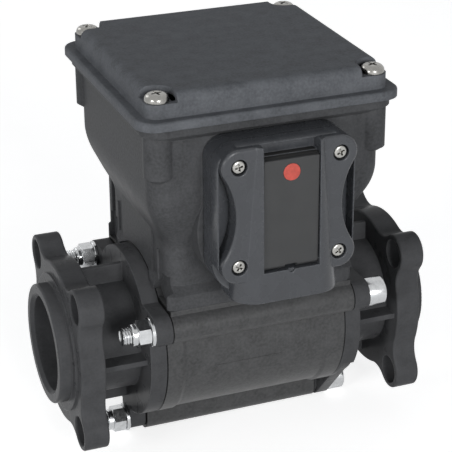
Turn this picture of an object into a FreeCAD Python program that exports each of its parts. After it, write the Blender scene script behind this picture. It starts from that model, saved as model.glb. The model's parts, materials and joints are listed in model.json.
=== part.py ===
# Electromagnetic flow meter: a moulded sensor body with a square electronics tower,
# clamped between two lobed pipe flanges by three tie screws.
# Frame: origin on the pipe axis, midway between the ring faces. +X along the flow,
# +Z up, and the service flap faces -Y. All sizes are in millimetres and degrees.
import FreeCAD, Part
import math
import os
from FreeCAD import Vector

# Flow tube and end fittings
bore_radius = 21.8
bore_chamfer = 1.6
ring_width = 5.8
ring_height = 6.8
ring_land_width = 4.4
ring_land_height = 1.0
flange_thickness = 11.5
flange_disc_radius = 37.9
flange_lobe_radius = 9.1
flange_lobe_fillet = 12.0
flange_edge_round = 0.9
flange_hole_spacing = 61.0
flange_hole_radius = 6.75
flange_hole_chamfer = 0.5
neck_length = 20.0
neck_wall = 4.2
neck_rib_height = 8.4
neck_rib_thickness = 2.4
clamp_thickness = 7.8
clamp_inset = 0.1
end_seal_land = 2.0
end_seal_width = 3.0
end_seal_depth = 2.2

# Tie screws, their bosses and ears
tie_boss_radius = 7.0
tie_boss_offset = 6.9
tie_side_angle = 25.0
lower_ear_radius = 5.8
lower_ear_thickness = 2.0
head_relief_depth = 1.5
head_relief_angle = 32.0
tie_shank_radius = 4.0
tie_hole_clearance = 0.25
tie_thread_overrun = 5.3
tie_head_radius = 6.5
tie_head_height = 8.6
tie_head_round = 1.0
tie_socket_across_flats = 6.0
tie_socket_depth = 4.0
tie_nut_across_flats = 13.0
tie_nut_height = 6.0
tie_nut_collar_height = 2.4
tie_nut_collar_radius = 5.9
tie_washer_radius = 7.4
tie_washer_thickness = 1.6

# Sensor body, from the bore outwards
body_half_length = 43.2
liner_wall = 2.2
tube_wall = 3.0
coil_space = 8.8
barrel_wall = 3.2
barrel_end_wall = 7.0
collar_rise = 0.8
collar_width = 7.6
collar_step_width = 1.6
saddle_margin = 4.7
saddle_rise = 1.8
wire_window_half_x = 16.0
wire_window_half_y = 12.0

# Coils, yoke and electrodes inside the barrel
coil_half_x = 20.0
coil_half_y = 17.0
coil_corner_radius = 8.0
coil_band_width = 8.0
coil_gap = 0.4
core_gap = 0.3
yoke_thickness = 1.4
yoke_half_width = 17.0
yoke_gap = 0.3
electrode_radius = 2.5
electrode_flange_radius = 4.6
electrode_flange_thickness = 1.6
electrode_seal_thickness = 1.0
electrode_stud_length = 7.0
electrode_recess = 0.25

# Electronics tower, from the saddle upwards
skirt_overlap = 1.4
skirt_height = 6.5
skirt_corner_radius = 5.0
skirt_slope_height = 3.5
skirt_pocket_depth = 4.0
skirt_pocket_height = 13.5
skirt_pocket_start = 25.0
skirt_wall = 2.5
arch_clearance = 0.4
neck_inset_x = 0.8
neck_inset_y = 3.6
neck_height = 18.9
neck_corner_radius = 8.0
shoulder_height = 21.6
shoulder_foot_blend = 3.0
shoulder_top_blend = 7.0
shoulder_steps = 4
box_half_width = 52.7
box_height = 32.4
box_corner_radius = 9.0
lip_reach = 3.6
lip_slope_height = 2.8
lip_height = 4.0
lip_corner_radius = 8.4
tower_wall = 3.0
tower_floor = 3.0
rear_pad_rise = 2.6
neck_pad_half_width = 21.0
neck_pad_height = 30.5
neck_rib_y = 28.0
neck_rib_width = 1.2
neck_rib_length = 22.5
housing_screw_inset_x = 12.4
housing_screw_inset_y = 7.0
housing_screw_radius = 2.0
housing_screw_length = 11.0

# Lid
lid_rim_reach = 2.5
lid_rim_corner_radius = 8.8
lid_rim_height = 3.9
lid_rim_round = 1.2
lid_panel_inset = 4.6
lid_panel_draft = 0.5
lid_panel_height = 10.3
lid_panel_corner_radius = 7.0
lid_panel_shoulder = 4.1
lid_wall = 3.0
lid_screw_inset = 10.4
lid_screw_column_radius = 6.4
lid_screw_column_drop = 26.2
lid_screw_column_taper = 3.0
lid_screw_boss_radius = 5.8
lid_screw_pocket_radius = 7.2
lid_screw_seat_depth = 4.2
lid_screw_radius = 2.5
lid_screw_head_radius = 5.0
lid_screw_head_height = 3.4
lid_screw_length = 16.0
lid_screw_hole_clearance = 0.3
lid_gasket_inset = 0.9
lid_gasket_width = 1.8
lid_gasket_height = 1.6
lid_gasket_corner_radius = 7.5

# Cover base, front cover and their seat on the tower
cover_seat_rise = 0.5
port_radius = 33.3
port_above_cover_foot = 25.2
cover_gasket_thickness = 0.8
cover_gasket_inset = 0.7
cover_half_width = 30.8
cover_above_box = 0.8
cover_top_corner = 9.0
cover_bottom_corner = 16.0
cover_foot_drop = 17.2
cover_base_depth = 11.0
cover_plate_depth = 9.5
cover_column_rise = 2.5
cover_ear_radius = 7.6
cover_scallop_depth = 6.3
cover_edge_round = 1.2
cover_screw_x = 22.6
cover_screw_pitch = 44.8
cover_screw_radius = 1.5
cover_screw_head_radius = 2.9
cover_screw_head_height = 2.2
cover_screw_pocket_radius = 3.6
cover_screw_pocket_depth = 2.6
cover_screw_length = 30.0
cover_screw_hole_clearance = 0.2
cover_post_wall = 2.6
column_half_base = 24.2
column_half_top = 17.4
column_base_round = 11.0
column_top_round = 8.5
cover_wall = 3.0
port_window_radius = 14.0

# Service flap, its pin and what lies behind it
flap_half_width = 12.3
flap_side_gap = 0.35
flap_sink = 1.3
flap_thickness = 3.3
flap_below_cover_top = 5.5
flap_top_slope = 0.9
flap_pin_drop = 1.35
flap_pin_radius = 0.8
flap_pin_clearance = 0.05
flap_barrel_radius = 1.75
flap_bottom_gap = 0.3
flap_back_gap = 0.55
flap_pin_overrun = 2.2
flap_notch_half_width = 2.6
pry_hollow_radius = 1.3
pry_hollow_depth = 1.2
well_half_width = 10.6
well_above_pin = 4.55
well_below_flap_top = 2.7
well_floor_thickness = 4.0
notch_depth = 3.8
notch_above_flap = 0.2
lens_radius = 3.75
lens_below_flap_top = 6.7
lens_proud = 0.25
lens_depth = 2.0
lens_wall = 1.0
led_radius = 2.5
led_length = 9.0
socket_above_well_foot = 15.0
socket_radius = 7.0
socket_length = 9.0
socket_wall = 1.2
contact_count = 4
contact_radius = 0.6
contact_circle_radius = 2.9
contact_sink = 0.6

# Main board and what it carries
board_gap_x = 6.7
board_gap_y = 8.7
board_corner_radius = 3.0
board_thickness = 1.6
board_above_shoulder = 15.0
board_post_inset = 5.0
board_post_radius = 3.4
board_post_foot = 2.0
board_screw_radius = 1.5
board_screw_clearance = 0.2
board_screw_head_radius = 2.8
board_screw_head_height = 1.9
board_screw_length = 8.0
terminal_count = 10
terminal_pitch = 5.0
terminal_width = 9.0
terminal_height = 10.0
terminal_y = 28.0
terminal_well_radius = 1.8
terminal_well_depth = 3.0
processor_size = 14.0
chip_length = 9.0
chip_width = 6.0
chip_height = 1.5
capacitor_radius = 4.0
capacitor_height = 12.0
capacitor_x = 30.0
capacitor_pitch = 10.0

AXIS_X = Vector(1, 0, 0)
AXIS_Y = Vector(0, 1, 0)
AXIS_Z = Vector(0, 0, 1)
EPS = 1e-4

# Radii of the sensor body, from the bore outwards
liner_outer_radius = bore_radius + liner_wall
tube_radius = liner_outer_radius + tube_wall
cavity_radius = tube_radius + coil_space
barrel_radius = cavity_radius + barrel_wall
collar_radius = barrel_radius + collar_rise
yoke_outer_radius = cavity_radius - yoke_gap
yoke_inner_radius = yoke_outer_radius - yoke_thickness
electrode_seat_y = tube_radius + electrode_seal_thickness

# End fitting
ring_radius = bore_radius + ring_width
ring_land_radius = ring_radius + ring_land_width
neck_tube_radius = bore_radius + neck_wall
neck_rib_radius = neck_tube_radius + neck_rib_height
clamp_disc_radius = collar_radius - clamp_inset
clamp_face_x = body_half_length + clamp_thickness
flange_back_x = clamp_face_x + neck_length
flange_face_x = flange_back_x + flange_thickness
ring_face_x = flange_face_x + ring_height
end_seal_inner_radius = liner_outer_radius + end_seal_land
lower_ear_face_x = body_half_length + lower_ear_thickness

# Tie screws
tie_circle_radius = clamp_disc_radius + tie_boss_offset
tie_side_y = tie_circle_radius * math.cos(math.radians(tie_side_angle))
tie_side_z = tie_circle_radius * math.sin(math.radians(tie_side_angle))
tie_places = [(-tie_side_y, tie_side_z), (tie_side_y, tie_side_z), (0.0, -tie_circle_radius)]
tie_seats = [clamp_face_x, clamp_face_x, lower_ear_face_x]
tie_nut_end_x = clamp_face_x + tie_washer_thickness + tie_nut_height + tie_nut_collar_height

# Tower levels and widths
saddle_half_width = clamp_disc_radius + saddle_margin
saddle_top_z = tie_side_z + tie_boss_radius + saddle_rise
arch_radius = collar_radius + arch_clearance
skirt_half_x = body_half_length + skirt_overlap
skirt_half_y = saddle_half_width
skirt_top_z = saddle_top_z + skirt_height
neck_half_x = body_half_length - neck_inset_x
neck_half_y = saddle_half_width - neck_inset_y
neck_start_z = skirt_top_z + skirt_slope_height
neck_top_z = neck_start_z + neck_height
box_bottom_z = neck_top_z + shoulder_height
box_lip_z = box_bottom_z + box_height
lip_start_z = box_lip_z + lip_slope_height
tower_top_z = lip_start_z + lip_height
lip_half_width = box_half_width + lip_reach

# Lid
lid_rim_half_width = lip_half_width + lid_rim_reach
lid_panel_half_base = lid_rim_half_width - lid_panel_inset
lid_panel_half_top = lid_panel_half_base - lid_panel_draft
lid_base_z = tower_top_z + lid_rim_height
lid_top_z = lid_base_z + lid_panel_height
lid_screw_at = lid_rim_half_width - lid_screw_inset
lid_screw_seat_z = lid_top_z - lid_screw_seat_depth
lid_gasket_half_width = lip_half_width - lid_gasket_inset

# Front cover and flap
cover_seat_y = -box_half_width - cover_seat_rise
cover_back_y = cover_seat_y - cover_gasket_thickness
cover_split_y = cover_back_y - cover_base_depth
cover_plate_front_y = cover_split_y - cover_plate_depth
cover_column_front_y = cover_plate_front_y - cover_column_rise
cover_top_z = box_lip_z + cover_above_box
cover_screw_top_z = cover_top_z - cover_ear_radius
cover_screw_bottom_z = cover_screw_top_z - cover_screw_pitch
cover_bottom_z = cover_screw_bottom_z - cover_foot_drop
cover_screw_seat_y = cover_plate_front_y + cover_screw_pocket_depth
cover_screw_tip_y = cover_screw_seat_y + cover_screw_length
port_z = cover_bottom_z + port_above_cover_foot
flap_front_y = cover_column_front_y + flap_sink
flap_back_y = flap_front_y + flap_thickness
flap_top_z = cover_top_z - flap_below_cover_top
flap_pin_z = cover_screw_bottom_z - flap_pin_drop
flap_pin_y = flap_front_y + flap_barrel_radius
flap_bottom_z = flap_pin_z - flap_barrel_radius
recess_half_width = flap_half_width + flap_side_gap
recess_bottom_z = flap_bottom_z - flap_bottom_gap
ledge_y = flap_back_y + flap_back_gap
notch_back_y = flap_back_y + notch_depth
notch_floor_z = flap_top_z + notch_above_flap
well_bottom_z = flap_pin_z + well_above_pin
well_top_z = flap_top_z - well_below_flap_top
well_floor_y = cover_back_y - well_floor_thickness
lens_z = flap_top_z - lens_below_flap_top
socket_z = well_bottom_z + socket_above_well_foot

# Main board and the screws that hold the tower down
board_half_x = box_half_width - tower_wall - board_gap_x
board_half_y = box_half_width - tower_wall - board_gap_y
board_z = box_bottom_z + board_above_shoulder
board_top_z = board_z + board_thickness
board_post_x = board_half_x - board_post_inset
board_post_y = board_half_y - board_post_inset
housing_screw_x = neck_half_x - housing_screw_inset_x
housing_screw_y = neck_half_y - housing_screw_inset_y


def cyl_x(radius, x0, x1, y=0.0, z=0.0):
    return Part.makeCylinder(radius, x1 - x0, Vector(x0, y, z), AXIS_X)


def cyl_y(radius, y0, y1, x=0.0, z=0.0):
    return Part.makeCylinder(radius, y1 - y0, Vector(x, y0, z), AXIS_Y)


def cyl_z(radius, z0, z1, x=0.0, y=0.0):
    return Part.makeCylinder(radius, z1 - z0, Vector(x, y, z0), AXIS_Z)


def block(x0, x1, y0, y1, z0, z1):
    return Part.makeBox(x1 - x0, y1 - y0, z1 - z0, Vector(x0, y0, z0))


def fuse_all(shapes):
    result = shapes[0]
    if len(shapes) > 1:
        result = shapes[0].multiFuse(shapes[1:])
    return result.removeSplitter()


def both_ends(shape):
    return shape.mirror(Vector(0, 0, 0), AXIS_X)


def rounded_rect(half_x, half_y, radius, z):
    """A closed wire in a level plane, with four straight sides and four arcs."""
    ax, ay = half_x - radius, half_y - radius
    k = radius * math.sqrt(0.5)
    corners = [(ax, ay, 1, 1), (-ax, ay, -1, 1), (-ax, -ay, -1, -1), (ax, -ay, 1, -1)]
    starts, mids, ends = [], [], []
    for cx, cy, sx, sy in corners:
        along_x = Vector(cx + sx * radius, cy, z)
        along_y = Vector(cx, cy + sy * radius, z)
        first_is_x = sx * sy > 0
        starts.append(along_x if first_is_x else along_y)
        ends.append(along_y if first_is_x else along_x)
        mids.append(Vector(cx + sx * k, cy + sy * k, z))
    edges = []
    for i in range(4):
        edges.append(Part.Arc(starts[i], mids[i], ends[i]).toShape())
        edges.append(Part.makeLine(ends[i], starts[(i + 1) % 4]))
    return Part.Wire(edges)


def rounded_prism(half_x, half_y, radius, z0, z1):
    face = Part.Face(rounded_rect(half_x, half_y, radius, z0))
    return face.extrude(Vector(0, 0, z1 - z0))


def level_edges(shape, z, reach=0.0):
    """Edges that lie whole in the plane at height z, at least reach from the axis."""
    found = []
    for edge in shape.Edges:
        box = edge.BoundBox
        flat = abs(box.ZMin - z) < EPS and abs(box.ZMax - z) < EPS
        far = max(abs(box.XMin), abs(box.XMax), abs(box.YMin), abs(box.YMax))
        if flat and far >= reach:
            found.append(edge)
    return found


def upright_edges(shape, plane_y):
    """Edges that lie whole in the plane at depth plane_y."""
    found = []
    for edge in shape.Edges:
        box = edge.BoundBox
        if abs(box.YMin - plane_y) < EPS and abs(box.YMax - plane_y) < EPS:
            found.append(edge)
    return found


# End fitting

def lobed_outline(x):
    """Outline of the pipe flange: a disc, four hole lobes and the hollows between."""
    at = flange_hole_spacing / 2
    reach = math.hypot(at, at)
    disc, lobe, blend = flange_disc_radius, flange_lobe_radius, flange_lobe_fillet
    far = disc + blend
    near = lobe + blend
    turn = math.acos((far**2 + reach**2 - near**2) / (2 * far * reach))
    edges = []
    for quarter in range(4):
        middle = math.radians(45 + 90 * quarter)
        lobe_y, lobe_z = reach * math.cos(middle), reach * math.sin(middle)
        spots = []
        for side in (-1, 1):
            angle = middle + side * turn
            cy, cz = far * math.cos(angle), far * math.sin(angle)
            on_disc = (disc * math.cos(angle), disc * math.sin(angle))
            on_lobe = (cy + (lobe_y - cy) * blend / near, cz + (lobe_z - cz) * blend / near)
            half_y = (on_disc[0] + on_lobe[0]) / 2 - cy
            half_z = (on_disc[1] + on_lobe[1]) / 2 - cz
            size = math.hypot(half_y, half_z)
            between = (cy + half_y * blend / size, cz + half_z * blend / size)
            spots.append((on_disc, between, on_lobe))
        tip = ((reach + lobe) * math.cos(middle), (reach + lobe) * math.sin(middle))
        first, last = spots
        point = [Vector(x, y, z) for y, z in (*first, tip, last[2], last[1], last[0])]
        edges.append(Part.Arc(point[0], point[1], point[2]).toShape())
        edges.append(Part.Arc(point[2], point[3], point[4]).toShape())
        edges.append(Part.Arc(point[4], point[5], point[6]).toShape())
        following = math.radians(90 + 90 * quarter)
        start = middle + turn
        stop = middle + math.radians(90) - turn
        ends = [Vector(x, disc * math.cos(a), disc * math.sin(a)) for a in (start, following, stop)]
        edges.append(Part.Arc(*ends).toShape())
    return Part.Wire(Part.__sortEdges__(edges))


def tie_section(radius, lower_radius, x0, x1):
    """A disc with the three tie bosses and the webs that join them to it."""
    solids = [cyl_x(radius, x0, x1)]
    boss_radii = (tie_boss_radius, tie_boss_radius, lower_radius)
    for (y, z), boss_radius in zip(tie_places, boss_radii):
        solids.append(cyl_x(boss_radius, x0, x1, y, z))
    top = tie_side_z + tie_boss_radius
    bottom = tie_side_z - tie_boss_radius
    solids.append(block(x0, x1, -tie_side_y, tie_side_y, bottom, top))
    solids.append(block(x0, x1, -lower_radius, lower_radius, -tie_circle_radius, 0))
    return fuse_all(solids)


def tie_holes(x0, x1):
    radius = tie_shank_radius + tie_hole_clearance
    return [cyl_x(radius, x0, x1, y, z) for y, z in tie_places]


def flange_plate():
    plate = Part.Face(lobed_outline(flange_back_x)).extrude(Vector(flange_thickness, 0, 0))
    rims = []
    for edge in plate.Edges:
        box = edge.BoundBox
        if box.XLength < EPS:
            rims.append(edge)
    return plate.makeFillet(flange_edge_round, rims)


def neck_ribs():
    half = neck_rib_thickness / 2
    reach = neck_rib_radius
    level = block(clamp_face_x, flange_back_x, -reach, reach, -half, half)
    upright = block(clamp_face_x, flange_back_x, -half, half, -reach, reach)
    return [level, upright]


def head_relief():
    """Room in the clamp disc and its lower ear for the head of the lower tie screw."""
    x0, x1 = lower_ear_face_x, clamp_face_x + 1
    reach = tie_circle_radius + tie_boss_radius
    level = -clamp_disc_radius * math.sin(math.radians(head_relief_angle))
    below = block(x0, x1, -reach, reach, -reach, level)
    return below.cut(cyl_x(clamp_disc_radius - head_relief_depth, x0, x1))


def end_fitting():
    """One end fitting, at +X, with a full ear for a nut at its foot."""
    ring = cyl_x(ring_radius, flange_face_x, ring_face_x)
    ring_edge = [e for e in ring.Edges if abs(e.BoundBox.XMin - ring_face_x) < EPS and e.BoundBox.XLength < EPS]
    ring = ring.makeFillet(flange_edge_round, ring_edge)
    land = cyl_x(ring_land_radius, flange_back_x + 1, flange_face_x + ring_land_height)
    neck = cyl_x(neck_tube_radius, body_half_length + 1, flange_face_x)
    clamp = tie_section(clamp_disc_radius, lower_ear_radius, body_half_length, clamp_face_x)
    solid = fuse_all([flange_plate(), ring, land, neck, clamp] + neck_ribs())
    cuts = [cyl_x(bore_radius, body_half_length - 1, ring_face_x + 1)]
    cone_radius = bore_radius + bore_chamfer
    cuts.append(Part.makeCone(bore_radius, cone_radius, bore_chamfer, Vector(ring_face_x - bore_chamfer, 0, 0), AXIS_X))
    cuts += tie_holes(body_half_length - 1, clamp_face_x + 1)
    at = flange_hole_spacing / 2
    for sy in (-1, 1):
        for sz in (-1, 1):
            cuts.append(cyl_x(flange_hole_radius, flange_back_x - 1, flange_face_x + 1, sy * at, sz * at))
            mouth = Vector(flange_face_x - flange_hole_chamfer, sy * at, sz * at)
            wide = flange_hole_radius + flange_hole_chamfer
            cuts.append(Part.makeCone(flange_hole_radius, wide, flange_hole_chamfer, mouth, AXIS_X))
    groove_outer = cyl_x(end_seal_inner_radius + end_seal_width, body_half_length - 1, body_half_length + end_seal_depth)
    groove_inner = cyl_x(end_seal_inner_radius, body_half_length - 1, body_half_length + end_seal_depth)
    cuts.append(groove_outer.cut(groove_inner))
    return solid.cut(cuts)


def end_seal():
    outer = cyl_x(end_seal_inner_radius + end_seal_width, body_half_length, body_half_length + end_seal_depth)
    return outer.cut(cyl_x(end_seal_inner_radius, body_half_length, body_half_length + end_seal_depth))


# Tie screws

def hexagon(across_flats, x0, x1, y, z):
    corner = across_flats / math.sqrt(3)
    points = []
    for i in range(7):
        angle = math.radians(60 * i)
        points.append(Vector(x0, y + corner * math.cos(angle), z + corner * math.sin(angle)))
    return Part.Face(Part.makePolygon(points)).extrude(Vector(x1 - x0, 0, 0))


def tie_screw(seat_x, y, z):
    """A long screw whose head stands on the outlet side and whose tip passes the nut."""
    end = seat_x + tie_head_height
    head = cyl_x(tie_head_radius, seat_x, end, y, z)
    outer = [e for e in head.Edges if abs(e.BoundBox.XMin - end) < EPS]
    head = head.makeFillet(tie_head_round, outer)
    tip_x = -tie_nut_end_x - tie_thread_overrun
    shank = cyl_x(tie_shank_radius, tip_x, seat_x, y, z)
    tip = [e for e in shank.Edges if abs(e.BoundBox.XMax - tip_x) < EPS]
    shank = shank.makeChamfer(tie_head_round, tip)
    socket = hexagon(tie_socket_across_flats, end - tie_socket_depth, end + 1, y, z)
    return head.fuse(shank).cut(socket)


def tie_washer(y, z):
    x0 = -clamp_face_x - tie_washer_thickness
    ring = cyl_x(tie_washer_radius, x0, -clamp_face_x, y, z)
    return ring.cut(cyl_x(tie_shank_radius + tie_hole_clearance, x0, -clamp_face_x, y, z))


def tie_nut(y, z):
    seat = -clamp_face_x - tie_washer_thickness
    shoulder = seat - tie_nut_height
    end = shoulder - tie_nut_collar_height
    body = hexagon(tie_nut_across_flats, shoulder, seat, y, z)
    corner = tie_nut_across_flats / math.sqrt(3)
    flat = tie_nut_across_flats / 2
    cone = Part.makeCone(flat, corner + tie_nut_height, tie_nut_height + corner - flat, Vector(shoulder, y, z), AXIS_X)
    body = body.common(cone)
    collar = cyl_x(tie_nut_collar_radius, end, shoulder, y, z)
    rim = [e for e in collar.Edges if abs(e.BoundBox.XMax - end) < EPS]
    collar = collar.makeFillet(tie_head_round, rim)
    return body.fuse(collar).cut(cyl_x(tie_shank_radius, end - 1, seat + 1, y, z))


# Sensor body

def barrel_outside():
    """Barrel with a raised collar at each end and a sloped step beside it."""
    panel_end = body_half_length - collar_width
    solids = [tie_section(barrel_radius, tie_boss_radius, -body_half_length, body_half_length)]
    collar = cyl_x(collar_radius, panel_end, body_half_length)
    step_start = Vector(panel_end - collar_step_width, 0, 0)
    step = Part.makeCone(barrel_radius, collar_radius, collar_step_width, step_start, AXIS_X)
    for piece in (collar, step):
        solids += [piece, both_ends(piece)]
    half = saddle_half_width
    solids.append(block(-body_half_length, body_half_length, -half, half, tie_side_z, saddle_top_z))
    return fuse_all(solids)


def sensor_body():
    solid = barrel_outside()
    inner_end = body_half_length - barrel_end_wall
    cavity = cyl_x(cavity_radius, -inner_end, inner_end).cut(cyl_x(tube_radius, -inner_end, inner_end))
    cuts = [cavity, cyl_x(liner_outer_radius, -body_half_length - 1, body_half_length + 1)]
    cuts.append(block(-wire_window_half_x, wire_window_half_x, -wire_window_half_y, wire_window_half_y,
                      tube_radius + 1, barrel_radius + 1))
    cuts += tie_holes(-body_half_length - 1, body_half_length + 1)
    cuts.append(cyl_y(electrode_radius, -tube_radius - 1, tube_radius + 1))
    for x, y in housing_screw_places():
        low = saddle_top_z - (housing_screw_length - tower_floor)
        cuts.append(cyl_z(housing_screw_radius, low, saddle_top_z + 1, x, y))
    return solid.cut(cuts)


def liner_tube():
    tube = cyl_x(liner_outer_radius, -body_half_length, body_half_length)
    return tube.cut([cyl_x(bore_radius, -body_half_length, body_half_length),
                     cyl_y(electrode_radius, -liner_outer_radius - 1, liner_outer_radius + 1)])


def electrode(side):
    """One measuring electrode. Side is -1 at the front and 1 at the rear."""
    start = bore_radius + electrode_recess
    seat = electrode_seat_y
    pin = cyl_y(electrode_radius, start, seat)
    flange = cyl_y(electrode_flange_radius, seat, seat + electrode_flange_thickness)
    stud_end = tube_radius + electrode_stud_length
    stud = cyl_y(electrode_radius * 0.6, seat + electrode_flange_thickness, stud_end)
    solid = fuse_all([pin, flange, stud])
    return solid if side > 0 else solid.mirror(Vector(0, 0, 0), AXIS_Y)


def electrode_seal(side):
    seat = electrode_seat_y
    ring = cyl_y(electrode_flange_radius, 0, seat).cut(cyl_y(electrode_radius, 0, seat))
    ring = ring.cut(cyl_x(tube_radius, -body_half_length, body_half_length))
    return ring if side > 0 else ring.mirror(Vector(0, 0, 0), AXIS_Y)


def shell_sector(inner, outer, half_x, half_y, corner, side):
    """The part of a tube wall that stands under a rounded rectangle, above or below."""
    shell = cyl_x(outer, -half_x - 1, half_x + 1).cut(cyl_x(inner, -half_x - 1, half_x + 1))
    top, bottom = (outer + 1, 0) if side > 0 else (0, -outer - 1)
    return shell.common(rounded_prism(half_x, half_y, corner, bottom, top))


def field_coil(side):
    inner, outer = tube_radius + coil_gap, yoke_inner_radius - coil_gap
    ring = shell_sector(inner, outer, coil_half_x, coil_half_y, coil_corner_radius, side)
    hole_x, hole_y = coil_half_x - coil_band_width, coil_half_y - coil_band_width
    return ring.cut(rounded_prism(hole_x, hole_y, coil_corner_radius / 4, -outer - 1, outer + 1))


def pole_core(side):
    half_x = coil_half_x - coil_band_width - core_gap
    half_y = coil_half_y - coil_band_width - core_gap
    return shell_sector(tube_radius, yoke_inner_radius, half_x, half_y, coil_corner_radius / 4, side)


def yoke_band():
    band = cyl_x(yoke_outer_radius, -yoke_half_width, yoke_half_width)
    return band.cut(cyl_x(yoke_inner_radius, -yoke_half_width, yoke_half_width))


# Electronics tower

def housing_screw_places():
    return [(sx * housing_screw_x, sy * housing_screw_y) for sx in (-1, 1) for sy in (-1, 1)]


def lid_screw_places():
    return [(sx * lid_screw_at, sy * lid_screw_at) for sx in (-1, 1) for sy in (-1, 1)]


def board_post_places():
    return [(sx * board_post_x, sy * board_post_y) for sx in (-1, 1) for sy in (-1, 1)]


def shoulder_share(z):
    """How far the wall has moved from the neck to the box at height z, from 0 to 1."""
    foot, top = z - neck_top_z, z - box_bottom_z
    share = foot / shoulder_height
    if abs(foot) < shoulder_foot_blend:
        share = (foot + shoulder_foot_blend)**2 / (4 * shoulder_foot_blend * shoulder_height)
    if abs(top) < shoulder_top_blend:
        share = 1 - (shoulder_top_blend - top)**2 / (4 * shoulder_top_blend * shoulder_height)
    return min(max(share, 0.0), 1.0)


def shoulder():
    """The sloped shoulder, which runs smoothly into the neck below and the box above."""
    levels = []
    for centre, blend in ((neck_top_z, shoulder_foot_blend), (box_bottom_z, shoulder_top_blend)):
        for i in range(2 * shoulder_steps + 1):
            levels.append(centre + blend * (i / shoulder_steps - 1))
    wires = []
    for z in levels:
        share = shoulder_share(z)
        half_x = neck_half_x + share * (box_half_width - neck_half_x)
        half_y = neck_half_y + share * (box_half_width - neck_half_y)
        corner = neck_corner_radius + share * (box_corner_radius - neck_corner_radius)
        wires.append(rounded_rect(half_x, half_y, corner, z))
    return Part.makeLoft(wires, True, False)


def stepped_loft(rows):
    """A loft with flat sides through level rounded rectangles."""
    return Part.makeLoft([rounded_rect(hx, hy, r, z) for z, hx, hy, r in rows], True, True)


def tower_outside():
    """Skirt and neck, smooth shoulder, then box and lip."""
    foot_z = neck_top_z - shoulder_foot_blend
    box_z = box_bottom_z + shoulder_top_blend
    lower = stepped_loft([
        (saddle_top_z, skirt_half_x, skirt_half_y, skirt_corner_radius),
        (skirt_top_z, skirt_half_x, skirt_half_y, skirt_corner_radius),
        (neck_start_z, neck_half_x, neck_half_y, neck_corner_radius),
        (foot_z, neck_half_x, neck_half_y, neck_corner_radius),
    ])
    upper = stepped_loft([
        (box_z, box_half_width, box_half_width, box_corner_radius),
        (box_lip_z, box_half_width, box_half_width, box_corner_radius),
        (lip_start_z, lip_half_width, lip_half_width, lip_corner_radius),
        (tower_top_z, lip_half_width, lip_half_width, lip_corner_radius),
    ])
    return fuse_all([lower, shoulder(), upper])


def tower_chamber():
    """The hollow inside, a wall's thickness within the outside, above the arched floor."""
    rows = [
        (saddle_top_z + tower_floor, neck_half_x, neck_half_y, neck_corner_radius),
        (neck_top_z, neck_half_x, neck_half_y, neck_corner_radius),
        (box_bottom_z, box_half_width, box_half_width, box_corner_radius),
        (tower_top_z + 1, box_half_width, box_half_width, box_corner_radius),
    ]
    wires = []
    for z, hx, hy, r in rows:
        wires.append(rounded_rect(hx - tower_wall, hy - tower_wall, r - tower_wall, z))
    arch = cyl_x(arch_radius + tower_floor, -neck_half_x, neck_half_x)
    return Part.makeLoft(wires, True, True).cut(arch)


def lid_screw_column(x, y):
    """Corner column for a lid screw, with a tapered foot."""
    foot_z = tower_top_z - lid_screw_column_drop
    taper_top = foot_z + lid_screw_column_taper
    radius = lid_screw_column_radius
    cone = Part.makeCone(radius / 3, radius, lid_screw_column_taper, Vector(x, y, foot_z), AXIS_Z)
    return cone.fuse(cyl_z(radius, taper_top, tower_top_z, x, y))


def cover_port():
    """Round port and flat pad on the front wall that carry the cover."""
    port = cyl_y(port_radius, cover_seat_y, -neck_half_y + tower_wall, 0, port_z)
    pad = Part.Face(cover_base_outline(cover_seat_y)).extrude(Vector(0, cover_seat_rise + tower_wall, 0))
    return port.fuse(pad)


def neck_details():
    """Flat pads and slim ribs on the two ends of the neck."""
    solids = []
    for side in (-1, 1):
        x0, x1 = sorted((side * (neck_half_x - 1), side * body_half_length))
        half = neck_pad_half_width
        solids.append(block(x0, x1, -half, half, saddle_top_z + 1, saddle_top_z + 1 + neck_pad_height))
        for sy in (-1, 1):
            y0 = sy * neck_rib_y - neck_rib_width / 2
            solids.append(block(x0, x1, y0, y0 + neck_rib_width, saddle_top_z + 1,
                                saddle_top_z + 1 + neck_rib_length))
    rear_y = neck_half_y + rear_pad_rise
    rear_top = neck_top_z + rear_pad_rise * shoulder_height / (box_half_width - neck_half_y)
    solids.append(block(-neck_half_x, neck_half_x, neck_half_y - 1, rear_y, skirt_top_z, rear_top))
    return solids


def skirt_pockets():
    """Open pockets at the four corners of the skirt, under its end walls."""
    x0, x1 = skirt_half_x - skirt_pocket_depth, skirt_half_x + 1
    low, high = saddle_top_z - 1, saddle_top_z + skirt_pocket_height
    inner, outer = skirt_pocket_start, skirt_half_y - skirt_wall
    bend = inner + skirt_pocket_height / 2
    rim = [Vector(x0, inner, low), Vector(x0, inner, low + tower_floor + 1), Vector(x0, bend, high),
           Vector(x0, outer, high), Vector(x0, outer, low), Vector(x0, inner, low)]
    pocket = Part.Face(Part.makePolygon(rim)).extrude(Vector(x1 - x0, 0, 0))
    pair = [pocket, pocket.mirror(Vector(0, 0, 0), AXIS_Y)]
    return pair + [both_ends(shape) for shape in pair]


def tower_screw_holes():
    holes = []
    for x, y in lid_screw_places():
        depth = lid_screw_length - (lid_screw_seat_z - tower_top_z)
        holes.append(cyl_z(lid_screw_radius, tower_top_z - depth, tower_top_z + 1, x, y))
    for x, y in housing_screw_places():
        holes.append(cyl_z(housing_screw_radius, saddle_top_z - 1, saddle_top_z + tower_floor + 1, x, y))
    for x, y in board_post_places():
        holes.append(cyl_z(board_screw_radius, board_top_z - board_screw_length, board_z + 1, x, y))
    for x, z in cover_screw_places():
        holes.append(cyl_y(cover_screw_radius, cover_seat_y - 1, cover_screw_tip_y, x, z))
    return holes


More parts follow.
